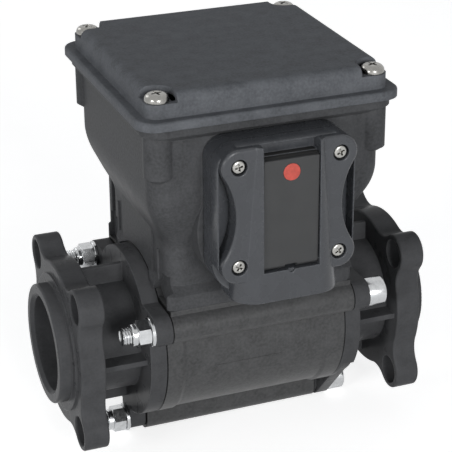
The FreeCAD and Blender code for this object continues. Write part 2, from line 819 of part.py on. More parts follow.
def gasket_ring(grow):
    half = lid_gasket_half_width
    outer_round = lid_gasket_corner_radius
    inner_round = outer_round - lid_gasket_width
    z0, z1 = tower_top_z - lid_gasket_height, tower_top_z + grow
    outer = rounded_prism(half, half, outer_round, z0, z1)
    return outer.cut(rounded_prism(half - lid_gasket_width, half - lid_gasket_width, inner_round, z0 - 1, z1 + 1))


def electronics_housing():
    arch = cyl_x(arch_radius, -skirt_half_x - 1, skirt_half_x + 1)
    columns = [lid_screw_column(x, y) for x, y in lid_screw_places()]
    solid = fuse_all([tower_outside(), cover_port()] + columns + neck_details())
    solid = solid.cut([arch, tower_chamber()] + skirt_pockets())
    inner = [lid_screw_column(x, y) for x, y in lid_screw_places()]
    post_foot_z = neck_top_z + board_post_foot
    inner += [cyl_z(board_post_radius, post_foot_z, board_z, x, y) for x, y in board_post_places()]
    inner += [cyl_y(cover_screw_radius + cover_post_wall, cover_seat_y, cover_screw_tip_y + 2, x, z)
              for x, z in cover_screw_places()]
    solid = fuse_all([solid] + inner)
    window = block(-wire_window_half_x, wire_window_half_x, -wire_window_half_y, wire_window_half_y,
                   saddle_top_z, arch_radius + tower_floor + 1)
    port_window = cyl_y(port_window_radius, cover_seat_y - 1, -neck_half_y + tower_wall + 1, 0, socket_z)
    return solid.cut([window, port_window, gasket_ring(1)] + tower_screw_holes())


def housing_screw(x, y):
    seat = saddle_top_z + tower_floor
    head = cyl_z(housing_screw_radius * 1.8, seat, seat + housing_screw_radius, x, y)
    return head.fuse(cyl_z(housing_screw_radius, seat - housing_screw_length, seat, x, y))


# Lid

def lid_panel():
    low = rounded_rect(lid_panel_half_base, lid_panel_half_base, lid_panel_corner_radius, lid_base_z)
    top_round = lid_panel_corner_radius - (lid_panel_half_base - lid_panel_half_top) / 2
    high = rounded_rect(lid_panel_half_top, lid_panel_half_top, top_round, lid_top_z)
    solid = Part.makeLoft([low, high], True, True)
    return solid.makeFillet(lid_panel_shoulder, level_edges(solid, lid_top_z))


def lid_pocket(x, y):
    """Round pocket for a screw head, open to the lid's corner."""
    sx, sy = math.copysign(1, x), math.copysign(1, y)
    z0, z1 = lid_screw_seat_z, lid_top_z + 1
    reach = lid_rim_half_width
    hole = cyl_z(lid_screw_pocket_radius, z0, z1, x, y)
    inner = lid_screw_pocket_radius
    ax, bx = sorted((x - sx * inner, sx * reach))
    ay, by = sorted((y, sy * reach))
    across = block(ax, bx, ay, by, z0, z1)
    ax, bx = sorted((x, sx * reach))
    ay, by = sorted((y - sy * inner, sy * reach))
    along = block(ax, bx, ay, by, z0, z1)
    return fuse_all([hole, across, along])


def lid():
    rim = rounded_prism(lid_rim_half_width, lid_rim_half_width, lid_rim_corner_radius, tower_top_z, lid_base_z)
    rim = rim.makeFillet(lid_rim_round, level_edges(rim, lid_base_z))
    bosses = [cyl_z(lid_screw_boss_radius, tower_top_z, lid_screw_seat_z, x, y) for x, y in lid_screw_places()]
    solid = fuse_all([rim, lid_panel()] + bosses)
    half = lid_panel_half_top - lid_wall
    hollow = rounded_prism(half, half, lid_panel_corner_radius - lid_wall, tower_top_z - 1, lid_top_z - lid_wall)
    columns = [cyl_z(lid_screw_boss_radius, tower_top_z - 1, lid_top_z, x, y) for x, y in lid_screw_places()]
    solid = solid.cut(hollow.cut(columns))
    hole_radius = lid_screw_radius + lid_screw_hole_clearance
    cuts = [lid_pocket(x, y) for x, y in lid_screw_places()]
    cuts += [cyl_z(hole_radius, tower_top_z - 1, lid_top_z, x, y) for x, y in lid_screw_places()]
    return solid.cut(cuts)


def pan_head(radius, height, z, x, y):
    """A cheese head with a domed top, standing on the plane z."""
    head = cyl_z(radius, z, z + height, x, y)
    rim = [e for e in head.Edges if abs(e.BoundBox.ZMin - z - height) < EPS]
    return head.makeFillet(height * 0.6, rim)


def lid_screw(x, y):
    head = pan_head(lid_screw_head_radius, lid_screw_head_height, lid_screw_seat_z, x, y)
    return head.fuse(cyl_z(lid_screw_radius, lid_screw_seat_z - lid_screw_length, lid_screw_seat_z, x, y))


# Front cover

def cover_screw_places():
    rows = (cover_screw_top_z, cover_screw_bottom_z)
    return [(sx * cover_screw_x, z) for sx in (-1, 1) for z in rows]


def wire_xz(points, arcs, y):
    """A closed outline in an upright plane. Each stretch is a line or a three point arc."""
    edges = []
    spots = [Vector(x, y, z) for x, z in points]
    for i, start in enumerate(spots):
        end = spots[(i + 1) % len(spots)]
        middle = arcs.get(i)
        if middle:
            edges.append(Part.Arc(start, Vector(middle[0], y, middle[1]), end).toShape())
        else:
            edges.append(Part.makeLine(start, end))
    return Part.Wire(edges)


def cover_base_outline(y, inset=0.0):
    half, high, low = cover_half_width - inset, cover_top_z - inset, cover_bottom_z + inset
    a, b = cover_top_corner - inset, cover_bottom_corner - inset
    k = 1 - math.sqrt(0.5)
    points = [(-half + a, high), (half - a, high), (half, high - a), (half, low + b),
              (half - b, low), (-half + b, low), (-half, low + b), (-half, high - a)]
    arcs = {
        1: (half - a * k, high - a * k),
        3: (half - b * k, low + b * k),
        5: (-half + b * k, low + b * k),
        7: (-half + a * k, high - a * k),
    }
    return wire_xz(points, arcs, y)


def cover_plate_outline(y):
    """Four round screw ears, with a hollow scallop down each side that meets them smoothly."""
    ear, at = cover_ear_radius, cover_screw_x
    high, low = cover_screw_top_z, cover_screw_bottom_z
    middle, half_span = (high + low) / 2, (high - low) / 2
    deepest = at + ear - cover_scallop_depth
    lean = deepest - at
    hollow = (half_span**2 + lean**2 - ear**2) / (2 * (ear - lean))
    far = ear + hollow
    meet_x = at + (deepest + hollow - at) * ear / far
    meet_z = half_span * ear / far
    tilt = math.atan2(-meet_z, meet_x - at)
    bend = (math.pi / 2 + tilt) / 2
    bulge_x, bulge_z = at + ear * math.cos(bend), ear * math.sin(bend)
    right = [(at, high + ear), (meet_x, high - meet_z), (meet_x, low + meet_z), (at, low - ear)]
    right_arcs = [(bulge_x, high + bulge_z), (deepest, middle), (bulge_x, low - bulge_z)]
    points = right + [(-x, z) for x, z in reversed(right)]
    arcs = {i: spot for i, spot in enumerate(right_arcs)}
    for i, (x, z) in enumerate(reversed(right_arcs)):
        arcs[4 + i] = (-x, z)
    return wire_xz(points, arcs, y)


def cover_plate():
    plate = Part.Face(cover_plate_outline(cover_plate_front_y)).extrude(Vector(0, cover_plate_depth, 0))
    return plate.makeFillet(cover_edge_round, upright_edges(plate, cover_plate_front_y))


def cover_column(back):
    """The thick middle column, wider at its foot, with rounded upright corners."""
    wires = []
    front = cover_column_front_y
    sections = ((cover_bottom_z, column_half_base, column_base_round),
                (cover_top_z, column_half_top, column_top_round))
    for z, half, r in sections:
        k = r * (1 - math.sqrt(0.5))
        left = [Vector(-half, back, z), Vector(-half, front + r, z), Vector(-half + r, front, z)]
        right = [Vector(half - r, front, z), Vector(half, front + r, z), Vector(half, back, z)]
        edges = [Part.makeLine(left[0], left[1])]
        edges.append(Part.Arc(left[1], Vector(-half + k, front + k, z), left[2]).toShape())
        edges.append(Part.makeLine(left[2], right[0]))
        edges.append(Part.Arc(right[0], Vector(half - k, front + k, z), right[1]).toShape())
        edges.append(Part.makeLine(right[1], right[2]))
        edges.append(Part.makeLine(right[2], left[0]))
        wires.append(Part.Wire(edges))
    return Part.makeLoft(wires, True, True)


def well():
    return block(-well_half_width, well_half_width, ledge_y - 1, well_floor_y, well_bottom_z, well_top_z)


def front_cover():
    """Scalloped plate and column, with the flap's recess, the finger notch and the pry hollow."""
    depth = cover_split_y - cover_column_front_y
    column = cover_column(cover_back_y - 2)
    column = column.common(block(-cover_half_width, cover_half_width, cover_column_front_y,
                                 cover_column_front_y + depth, cover_bottom_z, cover_top_z))
    solid = fuse_all([cover_plate(), column])
    front = cover_column_front_y - 1
    half, top = recess_half_width, cover_top_z + 1
    cuts = [
        block(-half, half, front, ledge_y, recess_bottom_z, top),
        block(-half, half, front, notch_back_y, notch_floor_z, top),
        well(),
        cyl_y(pry_hollow_radius, front, cover_column_front_y + pry_hollow_depth, 0, recess_bottom_z),
    ]
    for x, z in cover_screw_places():
        seat = cover_screw_seat_y
        cuts.append(cyl_y(cover_screw_pocket_radius, cover_plate_front_y - 1, seat, x, z))
        cuts.append(cyl_y(cover_screw_radius + cover_screw_hole_clearance, seat - 1, cover_split_y + 1, x, z))
    reach = recess_half_width + flap_pin_overrun
    cuts.append(cyl_x(flap_pin_radius, -reach, reach, flap_pin_y, flap_pin_z))
    return solid.cut(cuts)


def cover_inside():
    """Hollow of the cover base, around its middle and its screw posts."""
    y0, y1 = cover_split_y + cover_wall, cover_back_y + 1
    hollow = Part.Face(cover_base_outline(y0, cover_wall)).extrude(Vector(0, y1 - y0, 0))
    posts = [cyl_y(cover_screw_radius + cover_post_wall, y0 - 1, y1 + 1, x, z) for x, z in cover_screw_places()]
    side = well_half_width + cover_wall
    return hollow.cut(posts + [block(-side, side, y0 - 1, y1 + 1, cover_bottom_z, cover_top_z)])


def cover_base():
    """The deep base between the tower and the front cover, with the foot of the column."""
    y0 = cover_split_y
    base = Part.Face(cover_base_outline(y0)).extrude(Vector(0, cover_base_depth, 0))
    base = base.makeFillet(cover_edge_round * 1.5, upright_edges(base, y0))
    column = cover_column(cover_back_y - 2)
    column = column.common(block(-cover_half_width, cover_half_width, y0, cover_back_y, cover_bottom_z, cover_top_z))
    solid = fuse_all([base, column]).cut([well(), cover_inside()])
    cuts = [cyl_y(cover_screw_radius + cover_screw_hole_clearance, y0 - 1, cover_back_y + 1, x, z)
            for x, z in cover_screw_places()]
    floor_y = well_floor_y - 1
    cuts.append(cyl_y(led_radius, floor_y, cover_back_y + 1, 0, lens_z))
    cuts.append(cyl_y(socket_radius, floor_y, cover_back_y + 1, 0, socket_z))
    return solid.cut(cuts)


def cover_gasket():
    outline = Part.Face(cover_base_outline(cover_back_y, cover_gasket_inset))
    sheet = outline.extrude(Vector(0, cover_gasket_thickness, 0))
    below = sheet.cut(cyl_y(port_radius, cover_back_y - 1, cover_seat_y + 1, 0, port_z))
    skirt = below.common(block(-cover_half_width, cover_half_width, cover_back_y, cover_seat_y,
                               cover_bottom_z, port_z))
    sheet = sheet.cut(skirt)
    holes = [cyl_y(cover_screw_radius + 1, cover_back_y - 1, cover_seat_y + 1, x, z)
             for x, z in cover_screw_places()]
    holes.append(cyl_y(port_window_radius, cover_back_y - 1, cover_seat_y + 1, 0, socket_z))
    return sheet.cut(holes)


def cover_screw(x, z):
    seat = cover_screw_seat_y
    head = cyl_y(cover_screw_head_radius, seat - cover_screw_head_height, seat, x, z)
    rim = upright_edges(head, seat - cover_screw_head_height)
    head = head.makeFillet(cover_screw_head_height * 0.6, rim)
    return head.fuse(cyl_y(cover_screw_radius, seat, cover_screw_tip_y, x, z))


# Service flap

def service_flap():
    y0, y1 = flap_front_y, flap_back_y
    half = flap_half_width
    plate = block(-half, half, y0, y1, flap_pin_z, flap_top_z)
    low_front = Vector(-half, y0, flap_top_z - flap_top_slope)
    slope = Part.makePolygon([low_front, Vector(-half, y1, flap_top_z), Vector(-half, y0, flap_top_z), low_front])
    plate = plate.cut(Part.Face(slope).extrude(Vector(2 * half, 0, 0)))
    barrel = cyl_x(flap_barrel_radius, -half, half, flap_pin_y, flap_pin_z)
    solid = fuse_all([plate, barrel])
    notch = flap_notch_half_width
    solid = solid.cut([
        block(-notch, notch, y0 - 1, y1 + 1, flap_bottom_z - 1, flap_pin_z),
        cyl_x(flap_pin_radius + flap_pin_clearance, -half - 1, half + 1, flap_pin_y, flap_pin_z),
        cyl_y(lens_radius, y0 - 1, y1 + 1, 0, lens_z),
    ])
    return solid


def flap_pin():
    reach = recess_half_width + flap_pin_overrun
    return cyl_x(flap_pin_radius, -reach, reach, flap_pin_y, flap_pin_z)


def indicator_lens():
    front = flap_front_y - lens_proud
    lens = cyl_y(lens_radius, front, flap_back_y, 0, lens_z)
    lens = lens.makeFillet(lens_proud, upright_edges(lens, front))
    return lens.cut(cyl_y(lens_radius - lens_wall, front + lens_depth, flap_back_y + 1, 0, lens_z))


def status_led():
    tip = cover_back_y - led_length
    body = cyl_y(led_radius, tip, cover_back_y, 0, lens_z)
    return body.makeFillet(led_radius * 0.9, upright_edges(body, tip))


def service_socket():
    front = well_floor_y - socket_length
    solid = cyl_y(socket_radius, front, cover_back_y, 0, socket_z)
    inner = cyl_y(socket_radius - socket_wall, front - 1, well_floor_y - 2, 0, socket_z)
    insert = cyl_y(socket_radius - 2 * socket_wall, front + 2, well_floor_y, 0, socket_z)
    solid = solid.cut(inner).fuse(insert)
    return solid.cut([cyl_y(contact_radius, front, cover_back_y + 1, x, z) for x, z in contact_places()])


def contact_places():
    places = []
    for i in range(contact_count):
        angle = math.radians(45 + 360 * i / contact_count)
        x = contact_circle_radius * math.cos(angle)
        places.append((x, socket_z + contact_circle_radius * math.sin(angle)))
    return places


def contact_pin(x, z):
    front = well_floor_y - socket_length + contact_sink
    return cyl_y(contact_radius, front, cover_back_y, x, z)


# Main board

def main_board():
    plate = rounded_prism(board_half_x, board_half_y, board_corner_radius, board_z, board_top_z)
    holes = [cyl_z(board_screw_radius + board_screw_clearance, board_z - 1, board_top_z + 1, x, y)
             for x, y in board_post_places()]
    return plate.cut(holes)


def board_screw(x, y):
    head = pan_head(board_screw_head_radius, board_screw_head_height, board_top_z, x, y)
    return head.fuse(cyl_z(board_screw_radius, board_top_z - board_screw_length, board_top_z, x, y))


def on_board(x, y, length, width, height):
    return block(x - length / 2, x + length / 2, y - width / 2, y + width / 2, board_top_z, board_top_z + height)


def terminal_block():
    """Screw terminals along the rear edge of the board."""
    length = terminal_count * terminal_pitch
    body = on_board(0, terminal_y, length, terminal_width, terminal_height)
    top = board_top_z + terminal_height
    wells = []
    for i in range(terminal_count):
        x = (i + 0.5) * terminal_pitch - length / 2
        wells.append(cyl_z(terminal_well_radius, top - terminal_well_depth, top + 1, x, terminal_y))
    return body.cut(wells)


def board_chips():
    """A processor in the middle, a driver beside it and a power chip near the edge."""
    processor = on_board(-processor_size, -chip_width, processor_size, processor_size, chip_height)
    driver = on_board(processor_size, -chip_width, chip_length, chip_width, chip_height)
    power = on_board(-board_post_x + chip_length, chip_length, chip_length, chip_width, chip_height)
    return Part.makeCompound([processor, driver, power])


def board_capacitors():
    cans = []
    for side in (-0.5, 0.5):
        y = side * capacitor_pitch
        cans.append(cyl_z(capacitor_radius, board_top_z, board_top_z + capacitor_height, capacitor_x, y))
    return Part.makeCompound(cans)


def write_step(name, shape):
    shape.exportStep(os.path.join("parts", name + ".step"))
    print(name, "solids", len(shape.Solids), "volume", round(shape.Volume, 1), "valid", shape.isValid())


def build():
    fitting = end_fitting()
    seal = end_seal()
    parts = {
        "sensor_body": sensor_body(),
        "liner_tube": liner_tube(),
        "outlet_end_fitting": fitting.cut(head_relief()),
        "inlet_end_fitting": both_ends(fitting),
        "outlet_end_seal": seal,
        "inlet_end_seal": both_ends(seal),
        "field_coil_upper": field_coil(1),
        "field_coil_lower": field_coil(-1),
        "pole_core_upper": pole_core(1),
        "pole_core_lower": pole_core(-1),
        "yoke_band": yoke_band(),
        "electrode_front": electrode(-1),
        "electrode_rear": electrode(1),
        "electrode_seal_front": electrode_seal(-1),
        "electrode_seal_rear": electrode_seal(1),
        "electronics_housing": electronics_housing(),
        "lid": lid(),
        "lid_gasket": gasket_ring(0),
        "cover_base": cover_base(),
        "front_cover": front_cover(),
        "cover_gasket": cover_gasket(),
        "service_flap": service_flap(),
        "flap_pin": flap_pin(),
        "indicator_lens": indicator_lens(),
        "status_led": status_led(),
        "service_socket": service_socket(),
        "contact_pins": Part.makeCompound([contact_pin(x, z) for x, z in contact_places()]),
        "main_board": main_board(),
        "terminal_block": terminal_block(),
        "board_chips": board_chips(),
        "board_capacitors": board_capacitors(),
    }
    for i, (y, z) in enumerate(tie_places, 1):
        parts[f"tie_screw_{i}"] = tie_screw(tie_seats[i - 1], y, z)
        parts[f"tie_washer_{i}"] = tie_washer(y, z)
        parts[f"tie_nut_{i}"] = tie_nut(y, z)
    for i, (x, y) in enumerate(lid_screw_places(), 1):
        parts[f"lid_screw_{i}"] = lid_screw(x, y)
    for i, (x, z) in enumerate(cover_screw_places(), 1):
        parts[f"cover_screw_{i}"] = cover_screw(x, z)
    parts["board_screws"] = Part.makeCompound([board_screw(x, y) for x, y in board_post_places()])
    parts["housing_screws"] = Part.makeCompound([housing_screw(x, y) for x, y in housing_screw_places()])
    return parts


os.makedirs("parts", exist_ok=True)
for part_name, part_shape in build().items():
    write_step(part_name, part_shape)
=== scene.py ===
"""Electromagnetic flow meter: finishes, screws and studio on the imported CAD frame."""
import json
import logging
import math
from dataclasses import dataclass, field
from enum import Enum
from typing import Iterable, Sequence

import bmesh
import bpy
from mathutils import Matrix, Vector


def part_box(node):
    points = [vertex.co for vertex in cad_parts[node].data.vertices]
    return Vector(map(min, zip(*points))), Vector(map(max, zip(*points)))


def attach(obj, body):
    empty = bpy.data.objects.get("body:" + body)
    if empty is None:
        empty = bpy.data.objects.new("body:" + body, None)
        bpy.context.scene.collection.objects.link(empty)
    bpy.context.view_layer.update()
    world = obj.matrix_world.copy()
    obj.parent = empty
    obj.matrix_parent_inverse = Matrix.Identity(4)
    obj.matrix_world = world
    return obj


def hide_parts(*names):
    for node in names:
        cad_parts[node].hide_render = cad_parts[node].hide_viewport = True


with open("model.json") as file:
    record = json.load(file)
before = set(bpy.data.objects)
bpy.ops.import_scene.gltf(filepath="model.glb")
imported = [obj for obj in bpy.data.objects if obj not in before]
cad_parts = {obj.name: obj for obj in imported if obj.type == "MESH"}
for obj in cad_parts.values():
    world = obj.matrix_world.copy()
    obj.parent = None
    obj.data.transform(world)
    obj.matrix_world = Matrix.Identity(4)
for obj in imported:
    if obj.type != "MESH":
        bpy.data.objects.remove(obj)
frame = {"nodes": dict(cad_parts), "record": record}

MM = 0.001
MERGE_DISTANCE = 1e-4
LEVEL_TOLERANCE = 1e-3
CUT_TOLERANCE = 1e-5
QUARTER = math.pi / 2

Colour = tuple[float, float, float]
Triple = tuple[float, float, float]
Socket = bpy.types.NodeSocket
Material = bpy.types.Material
BMesh = bmesh.types.BMesh
Vert = bmesh.types.BMVert
Face = bmesh.types.BMFace

log = logging.getLogger("flow_meter")


class Rider(Enum):
    """The two bodies that a piece can move with."""

    METER = "meter"
    FLAP = "flap"


class Slot(Enum):
    """The material slots of the record."""

    BODY = "body_plastic"
    FITTING = "fitting_plastic"
    TOWER = "tower_plastic"
    LID = "lid_plastic"
    COVER = "cover_plastic"
    FLAP = "flap_plastic"
    LINER = "liner_plastic"
    SOCKET = "socket_plastic"
    TERMINAL = "terminal_plastic"
    CHIP = "chip_plastic"
    BOARD = "board_laminate"
    SEAL = "seal_rubber"
    PLATED = "plated_steel"
    ELECTRODE = "electrode_steel"
    CORE = "core_iron"
    COIL = "coil_copper"
    CONTACT = "contact_brass"
    CAN = "can_aluminium"
    LENS = "lens_red"
    LAMP = "led_plastic"


class Graph:
    """A node tree, with a short call for each thing that more than one tree needs."""

    def __init__(self, tree: bpy.types.NodeTree) -> None:
        """Takes over a node tree and empties it."""
        self.tree = tree
        self.tree.nodes.clear()

    def node(self, kind: str) -> bpy.types.Node:
        """Adds a node of the given kind."""
        return self.tree.nodes.new(kind)

    def join(self, source: Socket, target: Socket) -> None:
        """Links one socket to another."""
        self.tree.links.new(source, target)

    def combined(self, operation: str, first: Socket, second: Socket | float = 0.0) -> Socket:
        """Works out one value from two.

        Args:
            operation: the kind of sum.
            first: the first value.
            second: the second value, where the sum takes one.

        Returns:
            The result.
        """
        step = self.node("ShaderNodeMath")
        step.operation = operation
        self.join(first, step.inputs[0])
        if isinstance(second, float):
            step.inputs[1].default_value = second
        else:
            self.join(second, step.inputs[1])
        return step.outputs[0]

    def looked_at(self) -> tuple[Socket, Socket]:
        """Tells what kind of ray arrives.

        Returns:
            One value that is 1 for the camera's rays and for reflections, and one for rays through glass.
        """
        path = self.node("ShaderNodeLightPath")
        seen = self.combined("MAXIMUM", path.outputs["Is Camera Ray"], path.outputs["Is Glossy Ray"])
        return seen, path.outputs["Is Transmission Ray"]


class Shader(Graph):
    """A material's node tree, with a short call for each thing that the finishes need."""

    NOISE_LOW = 0.3
    NOISE_HIGH = 0.7
    EDGE_STARTS = 0.995
    EDGE_FULL = 0.80
    BEVEL_SAMPLES = 6

    def __init__(self, name: str) -> None:
        """Starts a material with a Principled shader.

        Args:
            name: the material's name.
        """
        self.material = bpy.data.materials.new(name)
        self.material.use_nodes = True
        super().__init__(self.material.node_tree)
        self.surface = self.node("ShaderNodeBsdfPrincipled")
        output = self.node("ShaderNodeOutputMaterial")
        self.join(self.surface.outputs["BSDF"], output.inputs["Surface"])
        self.coords = self.node("ShaderNodeTexCoord").outputs["Object"]

    def put(self, socket: str, value: float | tuple[float, ...]) -> None:
        """Sets one of the Principled shader's own sockets."""
        self.surface.inputs[socket].default_value = value

    def feed(self, socket: str, source: Socket) -> None:
        """Links a pattern to one of the Principled shader's sockets."""
        self.join(source, self.surface.inputs[socket])

    def texture(self, kind: str, scale: float) -> bpy.types.Node:
        """Adds a texture that lies on the object's own coordinates.

        Args:
            kind: the kind of texture node.
            scale: how many patches go on a metre.

        Returns:
            The node.
        """
        texture = self.node(kind)
        texture.inputs["Scale"].default_value = scale
        self.join(self.coords, texture.inputs["Vector"])
        return texture

    def noise(self, size: float, detail: float = 2.0) -> Socket:
        """Adds a cloudy pattern around 0.5.

        Args:
            size: the width of one patch, in millimetres.
            detail: how many finer layers lie on it.

        Returns:
            The pattern.
        """
        clouds = self.texture("ShaderNodeTexNoise", 1.0 / (size * MM))
        clouds.inputs["Detail"].default_value = detail
        return clouds.outputs["Fac"]

    def pits(self, size: float) -> Socket:
        """Adds small rounded cells.

        Args:
            size: the width of one cell, in millimetres.

        Returns:
            The distance to the cell's middle.
        """
        cells = self.texture("ShaderNodeTexVoronoi", 1.0 / (size * MM))
        cells.feature = "SMOOTH_F1"
        return cells.outputs["Distance"]

    def bands(self, size: float) -> Socket:
        """Adds regular bands that lie above each other.

        Args:
            size: the height from one band to the next, in millimetres.

        Returns:
            The wave, from 0 to 1.
        """
        wave = self.texture("ShaderNodeTexWave", math.pi / (10.0 * size * MM))
        wave.bands_direction = "Z"
        return wave.outputs["Fac"]

    def remapped(self, source: Socket, low: float, high: float, to_low: float = 0.0,
                 to_high: float = 1.0) -> Socket:
        """Maps the values between two limits to another range.

        Args:
            source: the values.
            low: the value that becomes to_low.
            high: the value that becomes to_high.
            to_low: the result at low.
            to_high: the result at high.

        Returns:
            The mapped values, which stay within the new range.
        """
        ranged = self.node("ShaderNodeMapRange")
        limits = {"From Min": low, "From Max": high, "To Min": to_low, "To Max": to_high}
        for socket, value in limits.items():
            ranged.inputs[socket].default_value = value
        self.join(source, ranged.inputs["Value"])
        return ranged.outputs["Result"]

    def spread(self, source: Socket, middle: float, swing: float) -> Socket:
        """Turns a pattern around 0.5 into values around a middle.

        Args:
            source: the pattern.
            middle: the value where the pattern is 0.5.
            swing: how far the value goes either way.

        Returns:
            The remapped value.
        """
        return self.remapped(source, self.NOISE_LOW, self.NOISE_HIGH, middle - swing, middle + swing)

    def tint(self, share: Socket, first: Colour | Socket, second: Colour) -> Socket:
        """Mixes two colours by a pattern.

        Args:
            share: how much of the second colour shows.
            first: the first colour, plain or from another mix.
            second: the second colour.

        Returns:
            The mixed colour.
        """
        mix = self.node("ShaderNodeMix")
        mix.data_type = "RGBA"
        self.join(share, mix.inputs[0])
        if isinstance(first, tuple):
            mix.inputs[6].default_value = (*first, 1.0)
        else:
            self.join(first, mix.inputs[6])
        mix.inputs[7].default_value = (*second, 1.0)
        return mix.outputs[2]

    def clouded(self, share: Socket, colour: Colour, dark: float, light: float) -> Socket:
        """Mixes a darker and a lighter shade of one colour by a pattern.

        Args:
            share: how much of the lighter shade shows.
            colour: the colour.
            dark: the factor of the darker shade.
            light: the factor of the lighter shade.

        Returns:
            The mixed colour.
        """
        return self.tint(share, shade(colour, dark), shade(colour, light))

    def rounded(self, radius: float) -> Socket:
        """Softens the edges in the shading.

        Args:
            radius: the edge radius, in millimetres.

        Returns:
            The softened normal.
        """
        bevel = self.node("ShaderNodeBevel")
        bevel.samples = self.BEVEL_SAMPLES
        bevel.inputs["Radius"].default_value = radius * MM
        return bevel.outputs["Normal"]

    def edges(self, normal: Socket) -> Socket:
        """Finds where the softened normal leaves the true one.

        Args:
            normal: the softened normal.

        Returns:
            A mask that is 1 on the edges.
        """
        facing = self.node("ShaderNodeVectorMath")
        facing.operation = "DOT_PRODUCT"
        self.join(normal, facing.inputs[0])
        self.join(self.node("ShaderNodeNewGeometry").outputs["Normal"], facing.inputs[1])
        return self.remapped(facing.outputs["Value"], self.EDGE_STARTS, self.EDGE_FULL)

    def seam(self, distance: float, width: float) -> Socket:
        """Marks the joint that runs round the pipe on both sides of the middle.

        Args:
            distance: how far it lies from the middle, in millimetres.
            width: how wide its shadow line is, in millimetres.

        Returns:
            A mask that is 1 in the joint.
        """
        parts = self.node("ShaderNodeSeparateXYZ")
        self.join(self.coords, parts.inputs[0])
        from_middle = self.combined("ABSOLUTE", parts.outputs["X"])
        from_joint = self.combined("ABSOLUTE", self.combined("SUBTRACT", from_middle, distance * MM))
        return self.remapped(from_joint, width * 0.5 * MM, width * 0.2 * MM)

    def relief(self, height: Socket, depth: float, normal: Socket | None = None) -> Socket:
        """Raises a pattern on the surface.

        Args:
            height: the pattern.
            depth: how deep it is, in millimetres.
            normal: the normal that it lies on.

        Returns:
            The bumped normal.
        """
        bump = self.node("ShaderNodeBump")
        bump.inputs["Distance"].default_value = depth * MM
        self.join(height, bump.inputs["Height"])
        if normal is not None:
            self.join(normal, bump.inputs["Normal"])
        return bump.outputs["Normal"]


def shade(colour: Colour, factor: float) -> Colour:
    """Returns a colour made lighter or darker by a factor."""
    return tuple(min(1.0, part * factor) for part in colour)


JOINT = 43.2
SHADOW_LINE = (0.004, 0.004, 0.004)


@dataclass(frozen=True)
class MouldedPlastic:
    """Injection moulded plastic with a fine grain, cloudy patches and lighter edges, which stand for slight
    wear and for a painted highlight.
    """

    name: str
    colour: Colour
    roughness: float = 0.55
    gloss: float = 0.35
    grain: float = 0.9
    grain_depth: float = 0.035
    patches: float = 7.0
    mottle: float = 0.10
    speckle: float = 0.10
    edge: float = 0.45
    # how much lighter the edges are painted: partly slight wear, partly a painted highlight on the rounded
    # edges
    edge_wear_and_highlight: float = 1.45
    speck_tone: float = 1.9
    seam: float = 0.0
    seam_width: float = 0.8

    def material(self) -> Material:
        """Builds the material.

        Returns:
            The material.
        """
        s = Shader(self.name)
        clouds = s.noise(self.patches, 4.0)
        speckle = s.spread(s.noise(self.grain * 1.3, 3.0), self.speckle, self.speckle)
        tone = s.clouded(s.spread(clouds, 0.5, 0.5), self.colour, 1 - self.mottle, 1 + self.mottle)
        tone = s.tint(speckle, tone, shade(self.colour, self.speck_tone))
        soft = s.rounded(self.edge)
        # edges painted lighter, partly as rubbed wear and partly as a painted highlight in place of sheen on
        # rounded edges
        wear_and_highlight = s.combined("MULTIPLY", s.edges(soft), s.spread(s.noise(2.5, 3.0), 0.35, 0.25))
        tone = s.tint(wear_and_highlight, tone, shade(self.colour, self.edge_wear_and_highlight))
        if self.seam:
            tone = s.tint(s.seam(self.seam, self.seam_width), tone, SHADOW_LINE)
        s.feed("Base Color", tone)
        s.feed("Roughness", s.spread(clouds, self.roughness, 0.05))
        s.put("Specular IOR Level", self.gloss)
        fine = s.relief(s.noise(self.grain, 2.5), self.grain_depth, soft)
        s.feed("Normal", s.relief(s.pits(self.grain * 1.8), self.grain_depth * 0.6, fine))
        return s.material


@dataclass(frozen=True)
class Rubber:
    """Matt black rubber with a dusty bloom."""

    name: str
    colour: Colour
    roughness: float = 0.8

    def material(self) -> Material:
        """Builds the material.

        Returns:
            The material.
        """
        s = Shader(self.name)
        bloom = s.noise(3.0, 4.0)
        s.feed("Base Color", s.clouded(s.spread(bloom, 0.3, 0.3), self.colour, 1.0, 2.2))
        s.feed("Roughness", s.spread(bloom, self.roughness, 0.08))
        s.put("Specular IOR Level", 0.25)
        s.feed("Normal", s.relief(s.noise(0.4), 0.02, s.rounded(0.2)))
        return s.material


@dataclass(frozen=True)
class TurnedMetal:
    """Bare or plated metal with fine turning marks, cloudy tarnish and softened edges."""

    name: str
    colour: Colour
    roughness: float = 0.24
    marks: float = 0.35
    marks_depth: float = 0.004
    tarnish: float = 0.82
    edge: float = 0.12

    def material(self) -> Material:
        """Builds the material.

        Returns:
            The material.
        """
        s = Shader(self.name)
        clouds = s.noise(2.2, 4.0)
        s.feed("Base Color", s.clouded(s.spread(clouds, 0.5, 0.5), self.colour, self.tarnish, 1.0))
        s.put("Metallic", 1.0)
        s.feed("Roughness", s.spread(s.noise(0.9, 3.0), self.roughness, 0.07))
        marks = s.noise(self.marks, 2.0)
        s.feed("Normal", s.relief(marks, self.marks_depth, s.rounded(self.edge)))
        return s.material


@dataclass(frozen=True)
class CastCore:
    """Oiled iron with a rough cast skin."""

    name: str
    colour: Colour

    def material(self) -> Material:
        """Builds the material.

        Returns:
            The material.
        """
        s = Shader(self.name)
        skin = s.noise(1.6, 5.0)
        s.feed("Base Color", s.clouded(s.spread(skin, 0.5, 0.5), self.colour, 0.6, 1.3))
        s.put("Metallic", 0.85)
        s.feed("Roughness", s.spread(skin, 0.5, 0.12))
        s.feed("Normal", s.relief(skin, 0.12, s.rounded(0.3)))
        return s.material


